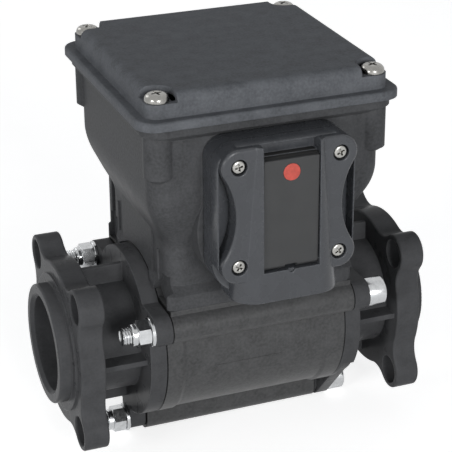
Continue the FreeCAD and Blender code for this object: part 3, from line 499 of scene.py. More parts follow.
@dataclass(frozen=True)
class CopperWinding:
    """Enamelled copper wire wound side by side."""

    name: str
    colour: Colour
    wire: float = 0.5

    def material(self) -> Material:
        """Builds the material.

        Returns:
            The material.
        """
        s = Shader(self.name)
        turns = s.bands(self.wire)
        # the dark part of each band is painted shade in the groove between turns
        s.feed("Base Color", s.clouded(turns, self.colour, 0.35, 1.0))
        s.put("Metallic", 0.9)
        s.feed("Roughness", s.spread(s.noise(1.0), 0.32, 0.08))
        s.put("Coat Weight", 0.4)
        s.feed("Normal", s.relief(turns, self.wire * 0.25))
        return s.material


@dataclass(frozen=True)
class CircuitLaminate:
    """Green solder mask with tracks that show through and a faint weave."""

    name: str
    colour: Colour
    track: float = 2.4
    track_colour: Colour = (0.07, 0.34, 0.12)

    def material(self) -> Material:
        """Builds the material.

        Returns:
            The material.
        """
        s = Shader(self.name)
        runs = s.texture("ShaderNodeTexBrick", 1.0 / (self.track * 2.0 * MM))
        runs.inputs["Mortar Size"].default_value = 0.035
        runs.inputs["Mortar Smooth"].default_value = 0.2
        mask = s.clouded(s.spread(s.noise(6.0, 3.0), 0.5, 0.4), self.colour, 0.8, 1.2)
        s.feed("Base Color", s.tint(runs.outputs["Fac"], mask, self.track_colour))
        s.feed("Roughness", s.spread(s.noise(0.6), 0.34, 0.06))
        s.feed("Normal", s.relief(runs.outputs["Fac"], 0.04))
        return s.material


@dataclass(frozen=True)
class FrostedLens:
    """Red translucent plastic with a frosted skin."""

    name: str
    colour: Colour
    glow: float = 0.12

    def material(self) -> Material:
        """Builds the material.

        Returns:
            The material.
        """
        s = Shader(self.name)
        clouds = s.noise(1.8, 3.0)
        s.feed("Base Color", s.clouded(s.spread(clouds, 0.5, 0.5), self.colour, 0.86, 1.14))
        s.feed("Roughness", s.spread(s.noise(0.7), 0.42, 0.06))
        s.put("Subsurface Weight", self.glow)
        s.put("Subsurface Radius", (0.004, 0.001, 0.0008))
        s.put("Subsurface Scale", 0.3)
        s.put("Specular IOR Level", 0.4)
        s.feed("Normal", s.relief(s.noise(0.5, 2.0), 0.015, s.rounded(0.3)))
        return s.material


FINISHES = {
    Slot.BODY: MouldedPlastic("barrel_moulding", (0.056, 0.0565, 0.0575), roughness=0.42, gloss=0.14,
                              grain=1.0, grain_depth=0.06, mottle=0.20, speckle=0.24, edge=0.8, edge_wear_and_highlight=2.0,
                              seam=JOINT),
    Slot.FITTING: MouldedPlastic("fitting_moulding", (0.065, 0.066, 0.069), roughness=0.30, gloss=0.02,
                                 grain=0.8, grain_depth=0.015, mottle=0.12, speckle=0.08, edge=0.8, edge_wear_and_highlight=2.2,
                                 seam=JOINT),
    Slot.TOWER: MouldedPlastic("tower_moulding", (0.058, 0.0592, 0.062), roughness=0.42, gloss=0.02,
                               grain=0.9, grain_depth=0.06, mottle=0.18, speckle=0.20, edge=0.9, edge_wear_and_highlight=2.0),
    Slot.LID: MouldedPlastic("lid_moulding", (0.097, 0.102, 0.111), roughness=0.42, gloss=0.01,
                             grain=0.85, grain_depth=0.07, mottle=0.20, speckle=0.16, edge=0.9, edge_wear_and_highlight=1.7),
    Slot.COVER: MouldedPlastic("cover_moulding", (0.049, 0.052, 0.058), roughness=0.27, gloss=0.36,
                               grain=0.7, grain_depth=0.008, mottle=0.05, speckle=0.03, edge=1.0, edge_wear_and_highlight=3.2),
    Slot.FLAP: MouldedPlastic("flap_moulding", (0.041, 0.042, 0.043), roughness=0.34, gloss=0.28,
                              grain=0.7, grain_depth=0.010, mottle=0.04, speckle=0.03, edge=0.6),
    Slot.LINER: MouldedPlastic("liner_plastic", (0.022, 0.022, 0.023), roughness=0.32, gloss=0.3,
                               grain=0.8, grain_depth=0.01, mottle=0.08),
    Slot.SOCKET: MouldedPlastic("socket_plastic", (0.02, 0.02, 0.022), roughness=0.45, grain_depth=0.012),
    Slot.TERMINAL: MouldedPlastic("terminal_plastic", (0.05, 0.22, 0.09), roughness=0.45,
                                  grain_depth=0.012),
    Slot.CHIP: MouldedPlastic("chip_plastic", (0.02, 0.02, 0.022), roughness=0.6, grain=0.3,
                              grain_depth=0.01),
    Slot.BOARD: CircuitLaminate("board_laminate", (0.03, 0.2, 0.08)),
    Slot.SEAL: Rubber("seal_rubber", (0.014, 0.014, 0.014)),
    Slot.PLATED: TurnedMetal("plated_steel", (0.54, 0.55, 0.56), roughness=0.2),
    Slot.ELECTRODE: TurnedMetal("electrode_steel", (0.66, 0.66, 0.66), roughness=0.18),
    Slot.CORE: CastCore("core_iron", (0.2, 0.2, 0.21)),
    Slot.COIL: CopperWinding("coil_copper", (0.72, 0.36, 0.2)),
    Slot.CONTACT: TurnedMetal("contact_brass", (0.8, 0.62, 0.28), roughness=0.2),
    Slot.CAN: TurnedMetal("can_aluminium", (0.75, 0.75, 0.76), roughness=0.3),
    Slot.LENS: FrostedLens("lens_red", (0.50, 0.075, 0.055)),
    Slot.LAMP: FrostedLens("lamp_resin", (0.85, 0.85, 0.8), glow=0.4),
}
# one stainless steel in two brightnesses: the cover screws' copy is painted lighter to stand in for the light
# on the front face
LID_SCREW_STEEL = TurnedMetal("stainless_lid_screw", (0.30, 0.295, 0.28), roughness=0.25, marks=0.5)
COVER_SCREW_STEEL = TurnedMetal("stainless_cover_screw", (0.40, 0.395, 0.375), roughness=0.25, marks=0.5)


class Wardrobe:
    """Makes each finish once and hands it out."""

    def __init__(self) -> None:
        """Starts with nothing made."""
        self.made: dict[Slot, Material] = {}

    def material(self, slot: Slot) -> Material:
        """Returns the material of a slot, made on the first call."""
        if slot not in self.made:
            self.made[slot] = FINISHES[slot].material()
        return self.made[slot]

    def dress_cad(self) -> None:
        """Gives every CAD node the finish of its slot in the record."""
        for row in frame["record"]["subparts"]:
            node = frame["nodes"].get(row["node"])
            if node is None:
                continue
            material = self.material(Slot(row["material_slot"]))
            if node.material_slots:
                node.material_slots[0].material = material
            else:
                node.data.materials.append(material)
            log.info("dressed %s in %s", row["node"], material.name)


class Blank:
    """A piece in the making, in millimetres, standing on the plane z = 0 with its axis along Z."""

    CREASE = math.radians(32.0)

    def __init__(self) -> None:
        """Starts with an empty mesh."""
        self.bm = bmesh.new()

    def turn(self, rows: Sequence[tuple[float, float]], steps: int = 64) -> None:
        """Spins a profile round the axis.

        Args:
            rows: (height, radius) pairs along the profile.
            steps: how many segments go round.
        """
        spots = [self.bm.verts.new((radius, 0.0, height)) for height, radius in rows]
        line = [self.bm.edges.new(pair) for pair in zip(spots, spots[1:])]
        bmesh.ops.spin(self.bm, geom=spots + line, cent=(0, 0, 0), axis=(0, 0, 1), angle=2 * math.pi,
                       steps=steps, use_merge=True)
        bmesh.ops.remove_doubles(self.bm, verts=self.bm.verts, dist=MERGE_DISTANCE)

    def box(self, size: Triple) -> None:
        """Adds a box round the origin."""
        bmesh.ops.create_cube(self.bm, size=1.0)
        bmesh.ops.scale(self.bm, vec=size, verts=self.bm.verts)

    def round_off(self, edges: list[bmesh.types.BMEdge], offset: float) -> None:
        """Rounds edges with two small steps."""
        bmesh.ops.bevel(self.bm, geom=edges, offset=offset, affect="EDGES", segments=2, profile=0.5,
                        material=-1)

    def level(self, height: float) -> list[Face]:
        """Returns the faces that lie flat at a height."""
        return [f for f in self.bm.faces if lie_at(f.verts, 2, height)]

    def trim(self, point: Vector, normal: Vector) -> None:
        """Cuts off everything that lies past a plane.

        Args:
            point: a point on the plane.
            normal: the direction in which the piece is cut off.
        """
        everything = self.bm.verts[:] + self.bm.edges[:] + self.bm.faces[:]
        bmesh.ops.bisect_plane(self.bm, geom=everything, dist=CUT_TOLERANCE, plane_co=point,
                               plane_no=normal, clear_outer=True)

    def close(self, height: float) -> Face:
        """Fills the open ring at a height.

        Args:
            height: where the ring lies.

        Returns:
            The new flat face.
        """
        ring = [e for e in self.bm.edges if e.is_boundary and lie_at(e.verts, 2, height)]
        return bmesh.ops.contextual_create(self.bm, geom=ring)["faces"][0]

    def score(self, height: float, normal: Vector, offset: float) -> None:
        """Cuts the flat faces at a height along a line.

        Args:
            height: where the faces lie.
            normal: the direction across the line.
            offset: the line's distance from the axis.
        """
        faces = self.level(height)
        corners = dict.fromkeys(v for f in faces for v in f.verts)
        borders = dict.fromkeys(e for f in faces for e in f.edges)
        bmesh.ops.bisect_plane(self.bm, geom=[*corners, *borders, *faces], dist=CUT_TOLERANCE,
                               plane_co=normal * offset, plane_no=normal)

    def sink(self, faces: list[Face], depth: float, taper: float) -> None:
        """Pushes faces down into the piece.

        Args:
            faces: the faces to sink.
            depth: how deep they go.
            taper: how much narrower the floor is.
        """
        spots = verts_of(bmesh.ops.extrude_face_region(self.bm, geom=faces))
        bmesh.ops.scale(self.bm, vec=(taper, taper, 1.0), verts=spots)
        bmesh.ops.translate(self.bm, vec=(0.0, 0.0, -depth), verts=spots)
        stale = [f for f in faces if f.is_valid]
        if stale:
            bmesh.ops.delete(self.bm, geom=stale, context="FACES")

    def face_outward(self) -> None:
        """Turns the faces of every closed shell outwards, so that the shell's volume comes out positive."""
        bmesh.ops.recalc_face_normals(self.bm, faces=self.bm.faces)
        waiting = set(self.bm.faces)
        while waiting:
            shell = self.shell(waiting.pop())
            waiting -= shell
            if sum(f.calc_area() * f.normal.dot(f.calc_center_median()) for f in shell) < 0.0:
                bmesh.ops.reverse_faces(self.bm, faces=list(shell))

    def shell(self, seed: Face) -> set[Face]:
        """Gathers the faces that hang together with a face.

        Args:
            seed: the face to start from.

        Returns:
            The seed and every face that can be reached from it over shared edges.
        """
        found, front = {seed}, [seed]
        while front:
            near = {f for e in front.pop().edges for f in e.link_faces} - found
            found |= near
            front.extend(near)
        return found

    def piece(self, name: str, place: Matrix, material: Material) -> bpy.types.Object:
        """Puts the piece in its place and makes an object of it.

        Args:
            name: the object's name.
            place: where the piece stands, in millimetres.
            material: its finish.

        Returns:
            The object, at the origin.
        """
        bmesh.ops.remove_doubles(self.bm, verts=self.bm.verts, dist=MERGE_DISTANCE)
        self.face_outward()
        bmesh.ops.transform(self.bm, matrix=Matrix.Scale(MM, 4) @ place, verts=self.bm.verts)
        for face in self.bm.faces:
            face.smooth = True
        for edge in self.bm.edges:
            edge.smooth = edge.is_manifold and edge.calc_face_angle(0.0) < self.CREASE
        mesh = bpy.data.meshes.new(name)
        self.bm.to_mesh(mesh)
        self.bm.free()
        mesh.materials.append(material)
        log.info("made %s: %d faces", name, len(mesh.polygons))
        return show(name, mesh)


def show(name: str, data: bpy.types.ID) -> bpy.types.Object:
    """Makes an object of some data and puts it in the scene.

    Args:
        name: the object's name.
        data: its mesh, lamp or camera.

    Returns:
        The object, at the origin.
    """
    made = bpy.data.objects.new(name, data)
    bpy.context.scene.collection.objects.link(made)
    return made


def lie_at(verts: Iterable[Vert], axis: int, place: float) -> bool:
    """Tells if every point lies at one place along an axis."""
    return all(abs(v.co[axis] - place) < LEVEL_TOLERANCE for v in verts)


def verts_of(result: dict) -> list[Vert]:
    """Returns the points among what a mesh operator made."""
    return [item for item in result["geom"] if isinstance(item, Vert)]


def faces_of(result: dict, key: str = "geom") -> list[Face]:
    """Returns the faces among what a mesh operator made."""
    return [item for item in result[key] if isinstance(item, Face)]


def turned(degrees: float, axis: str) -> Matrix:
    """Returns a turn round an axis."""
    return Matrix.Rotation(math.radians(degrees), 4, axis)


def dome(height: float, radius: float, corner: float, reach: float | None = None,
         steps: int = 8) -> list[tuple[float, float]]:
    """Rounds the rim of a head.

    Args:
        height: the top of the head.
        radius: the radius of the head.
        corner: how high the rounding is.
        reach: how far in the rounding goes, where that isn't its height.
        steps: how many pieces the rounding has.

    Returns:
        The profile rows of the rounding, from the side to the top.
    """
    inward = corner if reach is None else reach
    turns = [QUARTER * i / steps for i in range(steps + 1)]
    return [(height - corner + corner * math.sin(a), radius - inward + inward * math.cos(a)) for a in turns]


@dataclass
class SubAssembly:
    """Pieces that belong together and are dressed from one wardrobe."""

    wardrobe: Wardrobe

    def fit(self, blank: Blank, name: str, place: Matrix, slot: Slot, node: str | None = None,
            rider: Rider = Rider.METER, material: Material | None = None) -> None:
        """Makes a piece of a blank, hangs it on its body and hides the CAD node that it stands for, where
        there is one.

        Args:
            blank: the piece in the making.
            name: the piece's name.
            place: where it stands, in millimetres.
            slot: its material slot.
            node: the CAD node that it stands for, where there is one.
            rider: the body that it moves with.
            material: its material, where that isn't the slot's own.
        """
        made = blank.piece(name, place, material or self.wardrobe.material(slot))
        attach(made, rider.value)
        if node is not None:
            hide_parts(node)


@dataclass
class CrossScrews(SubAssembly):
    """Screws with a domed head and a cross recess, each in its moulded pocket."""

    label: str
    node: str
    places: Sequence[Vector]
    stand: Matrix
    steel: TurnedMetal
    head_radius: float
    head_height: float
    shank_radius: float
    shank_length: float
    arm: float
    slit: float
    recess: float
    side: float = 0.3
    foot: float = 0.15
    rim: float = 0.1
    taper: float = 0.72
    turns: Sequence[float] = (12.0, -31.0, 24.0, 40.0)

    def build(self) -> None:
        """Builds every screw, each stopped at its own turn, and hides its CAD node."""
        steel = self.steel.material()
        for number, (place, turn) in enumerate(zip(self.places, self.turns), 1):
            stand = Matrix.Translation(place) @ self.stand @ turned(turn, "Z")
            self.fit(self.screw(), f"{self.label}_{number}", stand, Slot.PLATED, f"{self.node}_{number}",
                     material=steel)

    def screw(self) -> Blank:
        """Turns the screw and sinks the cross into its head.

        Returns:
            The blank, standing on its seat.
        """
        blank = Blank()
        tip = -self.shank_length
        shank = [(tip, 0.0), (tip, self.shank_radius), (0.0, self.shank_radius)]
        foot = [(0.0, self.head_radius - self.foot), (self.foot, self.head_radius)]
        top = dome(self.head_height, self.head_radius, self.head_height * (1.0 - self.side),
                   self.head_radius - self.arm - self.rim)
        blank.turn(shank + foot + top)
        blank.close(self.head_height)
        for normal in (Vector((1, 0, 0)), Vector((0, 1, 0))):
            for offset in (-self.arm, -self.slit, self.slit, self.arm):
                blank.score(self.head_height, normal, offset)
        blank.sink([f for f in blank.level(self.head_height) if self.in_cross(f)], self.recess, self.taper)
        return blank

    def in_cross(self, face: Face) -> bool:
        """Tells if a face lies within the cross.

        Args:
            face: a face of the head's top.

        Returns:
            Whether it belongs to the recess.
        """
        middle = face.calc_center_median()
        near, far = sorted((abs(middle.x), abs(middle.y)))
        return near < self.slit and far < self.arm


TIE_PLACES = ((-42.234, 19.694), (42.234, 19.694), (0.0, -46.6))


@dataclass
class TieScrews(SubAssembly):
    """The three long screws that clamp the end fittings, with socket heads and cut threads."""

    seat_x: float = 51.0
    tip_x: float = -65.6
    thread_x: float = -55.0
    overlap: float = 0.2
    head_radius: float = 6.5
    head_height: float = 8.6
    head_round: float = 0.6
    foot_step: float = 0.3
    foot_height: float = 0.5
    plain_top: float = 1.4
    shank_radius: float = 3.95
    crest_radius: float = 3.98
    root_radius: float = 3.45
    pitch: float = 1.25
    crest_start: float = 0.42
    crest_end: float = 0.55
    thread_steps: int = 36
    tip_chamfer: float = 0.5
    tip_inset: float = 0.45
    socket_flats: float = 6.0
    socket_depth: float = 4.0
    socket_taper: float = 0.97
    flutes: int = 60
    flute_depth: float = 0.12

    def build(self) -> None:
        """Builds every tie screw and hides its CAD node."""
        for number, (y, z) in enumerate(TIE_PLACES, 1):
            blank = Blank()
            self.add_thread(blank)
            self.add_head(blank)
            self.add_shank(blank)
            place = Matrix.Translation((self.seat_x, y, z)) @ turned(90, "Y")
            self.fit(blank, f"tie_screw_socket_head_{number}", place, Slot.PLATED, f"tie_screw_{number}")

    def add_head(self, blank: Blank) -> None:
        """Adds the fluted head with its hexagon socket.

        Args:
            blank: the screw in the making.
        """
        plain = self.head_height - self.plain_top
        foot = [(0.0, 0.0), (0.0, self.head_radius - self.foot_step), (self.foot_height, self.head_radius)]
        top = dome(self.head_height, self.head_radius, self.head_round, steps=4)
        blank.turn(foot + [(plain, self.head_radius)] + top, self.flutes * 2)
        share = 1.0 - self.flute_depth / self.head_radius
        bmesh.ops.scale(blank.bm, vec=(share, share, 1.0), verts=self.grooves(blank, plain))
        blank.close(self.head_height)
        sides = [Vector((math.cos(a), math.sin(a), 0)) for a in (0, math.pi / 3, 2 * math.pi / 3)]
        for side in sides:
            for way in (-0.5, 0.5):
                blank.score(self.head_height, side, way * self.socket_flats)
        inside = [f for f in blank.level(self.head_height)
                  if all(abs(f.calc_center_median().dot(side)) < self.socket_flats / 2 for side in sides)]
        blank.sink(inside, self.socket_depth, self.socket_taper)

    def grooves(self, blank: Blank, plain: float) -> list[Vert]:
        """Finds the points that lie in the flutes.

        Args:
            blank: the screw in the making.
            plain: the height where the flutes end.

        Returns:
            Every other point round the head.
        """
        slack = 0.01
        grip = [v for v in blank.bm.verts if v.co.xy.length > self.head_radius - slack
                and self.foot_height - slack < v.co.z < plain + slack]
        return [v for v in grip if round(math.atan2(v.co.y, v.co.x) / math.pi * self.flutes) % 2]

    def add_shank(self, blank: Blank) -> None:
        """Adds the plain length between the head and the thread.

        Args:
            blank: the screw in the making.
        """
        end = self.thread_x - self.seat_x
        radius, top = self.shank_radius, self.overlap
        blank.turn([(end, 0.0), (end, radius), (top, radius), (top, 0.0)], 48)

    def add_thread(self, blank: Blank) -> None:
        """Adds the threaded end, cut flat at the tip.

        Args:
            blank: the screw in the making.
        """
        tip, start = self.tip_x - self.seat_x, self.thread_x - self.seat_x
        turns = math.ceil((start - tip) / self.pitch) + 2
        low = tip - self.pitch
        crest, root = self.crest_radius, self.root_radius
        rows = ((0.0, root), (self.crest_start, crest), (self.crest_end, crest), (1.0, root))
        spots = [blank.bm.verts.new((radius, 0.0, low + share * self.pitch)) for share, radius in rows]
        line = [blank.bm.edges.new(pair) for pair in zip(spots, spots[1:])]
        bmesh.ops.spin(blank.bm, geom=spots + line, cent=(0, 0, 0), axis=(0, 0, 1),
                       dvec=(0, 0, self.pitch / self.thread_steps), angle=2 * math.pi * turns,
                       steps=self.thread_steps * turns)
        bmesh.ops.remove_doubles(blank.bm, verts=blank.bm.verts, dist=LEVEL_TOLERANCE)
        cut, foot = tip + self.tip_chamfer, start + self.overlap
        blank.trim(Vector((0, 0, cut)), Vector((0, 0, -1)))
        end = blank.close(cut)
        bmesh.ops.inset_region(blank.bm, faces=[end], thickness=self.tip_inset, depth=self.tip_chamfer)
        blank.trim(Vector((0, 0, foot)), Vector((0, 0, 1)))
        blank.close(foot)


@dataclass
class TieNuts(SubAssembly):
    """The locking nuts and washers on the threaded ends of the tie screws."""

    seat_x: float = -51.0
    washer_radius: float = 6.7
    washer_height: float = 1.6
    washer_foot: float = 0.2
    washer_edge: float = 0.3
    across_flats: float = 11.0
    nut_height: float = 6.1
    chamfer: float = 0.55
    foot_step: float = 0.1
    spare: float = 0.05
    collar_radius: float = 4.95
    collar_height: float = 2.4
    collar_round: float = 1.1
    collar_overlap: float = 0.2
    bore: float = 4.0
    bore_chamfer: float = 0.5
    mouth_radius: float = 4.1
    floor_radius: float = 3.8
    first_turn: float = 22.0
    further_turn: float = 17.0

    def build(self) -> None:
        """Builds the washers and nuts and hides their CAD nodes."""
        for number, (y, z) in enumerate(TIE_PLACES, 1):
            stand = Matrix.Translation((self.seat_x, y, z)) @ turned(-90, "Y")
            self.fit(self.washer(), f"round_washer_{number}", stand, Slot.PLATED, f"tie_washer_{number}")
            turn = turned(self.first_turn + self.further_turn * number, "Z")
            stand = stand @ Matrix.Translation((0, 0, self.washer_height)) @ turn
            self.fit(self.nut(), f"lock_nut_{number}", stand, Slot.PLATED, f"tie_nut_{number}")

    def washer(self) -> Blank:
        """Turns a washer with broken edges.

        Returns:
            The blank, standing on its seat.
        """
        blank = Blank()
        rim, top = self.washer_radius, self.washer_height
        low, high = self.washer_foot, self.washer_edge
        blank.turn([(0.0, self.bore), (0.0, rim - low), (low, rim), (top - high, rim), (top, rim - high),
                    (top, self.bore), (0.0, self.bore)], 72)
        return blank

    def nut(self) -> Blank:
        """Turns the nut, cuts its six flats and adds the collar.

        Returns:
            The blank, standing on its washer.
        """
        blank = Blank()
        flat = self.across_flats / 2
        inner, outer = flat - self.foot_step, self.across_flats / math.sqrt(3) + self.spare
        low, top = self.chamfer, self.nut_height
        blank.turn([(0.0, 0.0), (0.0, inner), (low, outer), (top - low, outer), (top, inner), (top, 0.0)], 96)
        for turn in range(6):
            normal = Vector((math.cos(turn * math.pi / 3), math.sin(turn * math.pi / 3), 0.0))
            blank.trim(normal * flat, normal)
            bmesh.ops.contextual_create(blank.bm, geom=[e for e in blank.bm.edges if e.is_boundary])
        end = self.nut_height + self.collar_height
        seat, floor = self.nut_height - self.collar_overlap, end - self.bore_chamfer
        rim = dome(end, self.collar_radius, self.collar_round, steps=5)
        blank.turn([(seat, 0.0), (seat, self.collar_radius)] + rim
                   + [(end, self.mouth_radius), (floor, self.floor_radius), (floor, 0.0)])
        return blank


@dataclass
class MouldLine(SubAssembly):
    """The fine parting line that the mould left along the front of the barrel."""

    radius: float = 39.0
    angle: float = -8.0
    start: float = -20.0
    end: float = 12.0
    width: float = 0.34
    height: float = 0.16

    def build(self) -> None:
        """Builds the ridge on the barrel."""
        blank = Blank()
        blank.box((self.end - self.start, self.height * 2, self.width))
        front = [e for e in blank.bm.edges if all(v.co.y < 0 for v in e.verts)]
        blank.round_off(front, self.height * 0.8)
        a = math.radians(self.angle)
        middle = ((self.start + self.end) / 2, -self.radius * math.cos(a), self.radius * math.sin(a))
        stand = Matrix.Translation(middle) @ Matrix.Rotation(-a, 4, "X")
        self.fit(blank, "barrel_mould_line", stand, Slot.BODY)


@dataclass
class CoverSkirt(SubAssembly):
    """The thin wall round the cover base, which stands forward and leaves a hollow behind each scallop."""

    half_width: float = 30.83
    top_z: float = 112.224
    bottom_z: float = 58.6
    corner: float = 9.03
    thickness: float = 0.63
    front_y: float = -71.0
    back_y: float = -62.6
    front_round: float = 0.25

    def build(self) -> None:
        """Sweeps the wall up one side, over the top and down the other."""
        blank = Blank()
        bm = blank.bm
        outer, inner = -self.half_width, self.thickness - self.half_width
        corners = ((outer, self.back_y), (outer, self.front_y), (inner, self.front_y), (inner, self.back_y))
        section = [bm.faces.new([bm.verts.new((x, y, self.bottom_z)) for x, y in corners])]
        top, flat = self.top_z - self.corner, self.half_width - self.corner
        section = self.draw(bm, section, (0.0, 0.0, top - self.bottom_z), keep=True)
        section = self.bend(bm, section, (-flat, 0.0, top))
        section = self.draw(bm, section, (2 * flat, 0.0, 0.0))
        section = self.bend(bm, section, (flat, 0.0, top))
        self.draw(bm, section, (0.0, 0.0, self.bottom_z - top))
        bmesh.ops.remove_doubles(bm, verts=bm.verts, dist=MERGE_DISTANCE)
        blank.round_off([e for e in bm.edges if lie_at(e.verts, 1, self.front_y) and self.is_corner(e)],
                        self.front_round)
        self.fit(blank, "cover_skirt", Matrix.Identity(4), Slot.COVER)

    def is_corner(self, edge: bmesh.types.BMEdge) -> bool:
        """Tells if two faces meet sharply at an edge."""
        return len(edge.link_faces) == 2 and abs(edge.calc_face_angle(0.0)) > 1.0

    def draw(self, bm: BMesh, section: list[Face], way: Triple, keep: bool = False) -> list[Face]:
        """Draws the section along a straight run.

        Args:
            bm: the mesh.
            section: the section's face.
            way: how far it goes.
            keep: whether the first face stays, as the wall's near end.

        Returns:
            The face at the far end.
        """
        new = bmesh.ops.extrude_face_region(bm, geom=section)
        bmesh.ops.translate(bm, vec=way, verts=verts_of(new))
        if not keep:
            self.clear(bm, section)
        return faces_of(new)

    def bend(self, bm: BMesh, section: list[Face], centre: Triple) -> list[Face]:
        """Turns the section round a corner.

        Args:
            bm: the mesh.
            section: the section's face.
            centre: the middle of the corner.

        Returns:
            The face at the far end.
        """
        new = bmesh.ops.spin(bm, geom=section, cent=centre, axis=(0, 1, 0), angle=QUARTER, steps=12)
        self.clear(bm, section)
        return faces_of(new, "geom_last")

    def clear(self, bm: BMesh, section: list[Face]) -> None:
        """Takes away a section that has become the inside of the wall."""
        bmesh.ops.delete(bm, geom=[f for f in section if f.is_valid], context="FACES_ONLY")


@dataclass
class ShadeStrips(SubAssembly):
    """Black strips that close the gap over the flap as painted shade, one on the flap and one on the notch's
    floor; they stand in for the shadow in the gap behind the flap's top.
    """

    half_length: float = 12.1
    thickness: float = 0.14
    edge_round: float = 0.04
    front_gap: float = 0.9
    back_gap: float = 0.1
    floor_start: float = 0.6
    floor_end: float = 3.7
    floor_lift: float = 0.2

    def build(self) -> None:
        """Lays both strips."""
        low, high = (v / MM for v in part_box("service_flap"))
        on_flap = (low.y + self.front_gap, high.y - self.back_gap)
        on_floor = (high.y + self.floor_start, high.y + self.floor_end)
        # both strips are painted shade: black sheets laid where there is only the shadowed gap behind the
        # flap
        self.lay("flap_top_shade_strip", Rider.FLAP, on_flap, high.z)
        self.lay("notch_floor_shade_strip", Rider.METER, on_floor, high.z + self.floor_lift)

    def lay(self, name: str, rider: Rider, reach: tuple[float, float], seat: float) -> None:
        """Lays one strip with rounded edges.

        Args:
            name: the object's name.
            rider: the body that it moves with.
            reach: where it starts and ends along Y.
            seat: the height of its seat.
        """
        blank = Blank()
        blank.box((self.half_length * 2, reach[1] - reach[0], self.thickness))
        blank.round_off(blank.bm.edges[:], self.edge_round)
        place = Matrix.Translation((0.0, sum(reach) / 2, seat + self.thickness / 2))
        # the strips take the seal rubber's near-black finish as painted shade
        self.fit(blank, name, place, Slot.SEAL, rider=rider)


@dataclass
class LowerLug(SubAssembly):
    """The full-depth ear at the outlet's foot, which carries the head of the lower tie screw."""

    disc_radius: float = 37.95
    boss_radius: float = 7.0
    boss_z: float = -46.6
    inner_radius: float = 33.0
    start_x: float = 44.9
    end_x: float = 51.04
    edge_round: float = 0.4
    arc_steps: int = 24

    def build(self) -> None:
        """Draws the ear's outline with arcs and tangents, and extrudes it."""
        blank = Blank()
        bm = blank.bm
        lean = math.acos((self.disc_radius - self.boss_radius) / -self.boss_z)
        left, sweep = -QUARTER - lean, 2 * lean
        boss = self.arc(bm, (0.0, self.boss_z, 0.0), self.boss_radius, left, sweep)
        inner = self.arc(bm, (0.0, 0.0, 0.0), self.inner_radius, left, sweep)
        for side, angle in enumerate((left, left + sweep)):
            rim = bm.verts.new(Vector((math.cos(angle), math.sin(angle), 0.0)) * self.disc_radius)
            bm.edges.new((boss[side], rim))
            bm.edges.new((rim, inner[side]))
        flat = bmesh.ops.contextual_create(bm, geom=bm.edges[:])["faces"]
        depth = self.end_x - self.start_x
        far = verts_of(bmesh.ops.extrude_face_region(bm, geom=flat))
        bmesh.ops.translate(bm, vec=(0.0, 0.0, depth), verts=far)
        blank.round_off([e for e in bm.edges if lie_at(e.verts, 2, depth)], self.edge_round)
        stand = Matrix(((0, 0, 1, self.start_x), (1, 0, 0, 0), (0, 1, 0, 0), (0, 0, 0, 1)))
        self.fit(blank, "outlet_lower_lug", stand, Slot.FITTING)

    def arc(self, bm: BMesh, centre: Triple, radius: float, start: float,
            sweep: float) -> tuple[Vert, Vert]:
        """Draws an arc by spinning its first point.

        Args:
            bm: the mesh.
            centre: the middle of the arc.
            radius: its radius.
            start: the angle of its first point.
            sweep: how far it turns.

        Returns:
            The first and the last point.
        """
        first = bm.verts.new(Vector(centre) + Vector((math.cos(start), math.sin(start), 0.0)) * radius)
        spun = bmesh.ops.spin(bm, geom=[first], cent=centre, axis=(0, 0, 1), angle=sweep,
                              steps=self.arc_steps)
        return first, spun["geom_last"][0]


@dataclass(frozen=True)
class Lamp:
    """A square lamp, with its place and width in millimetres and its power in watts."""

    name: str
    place: Triple
    size: float
    power: float


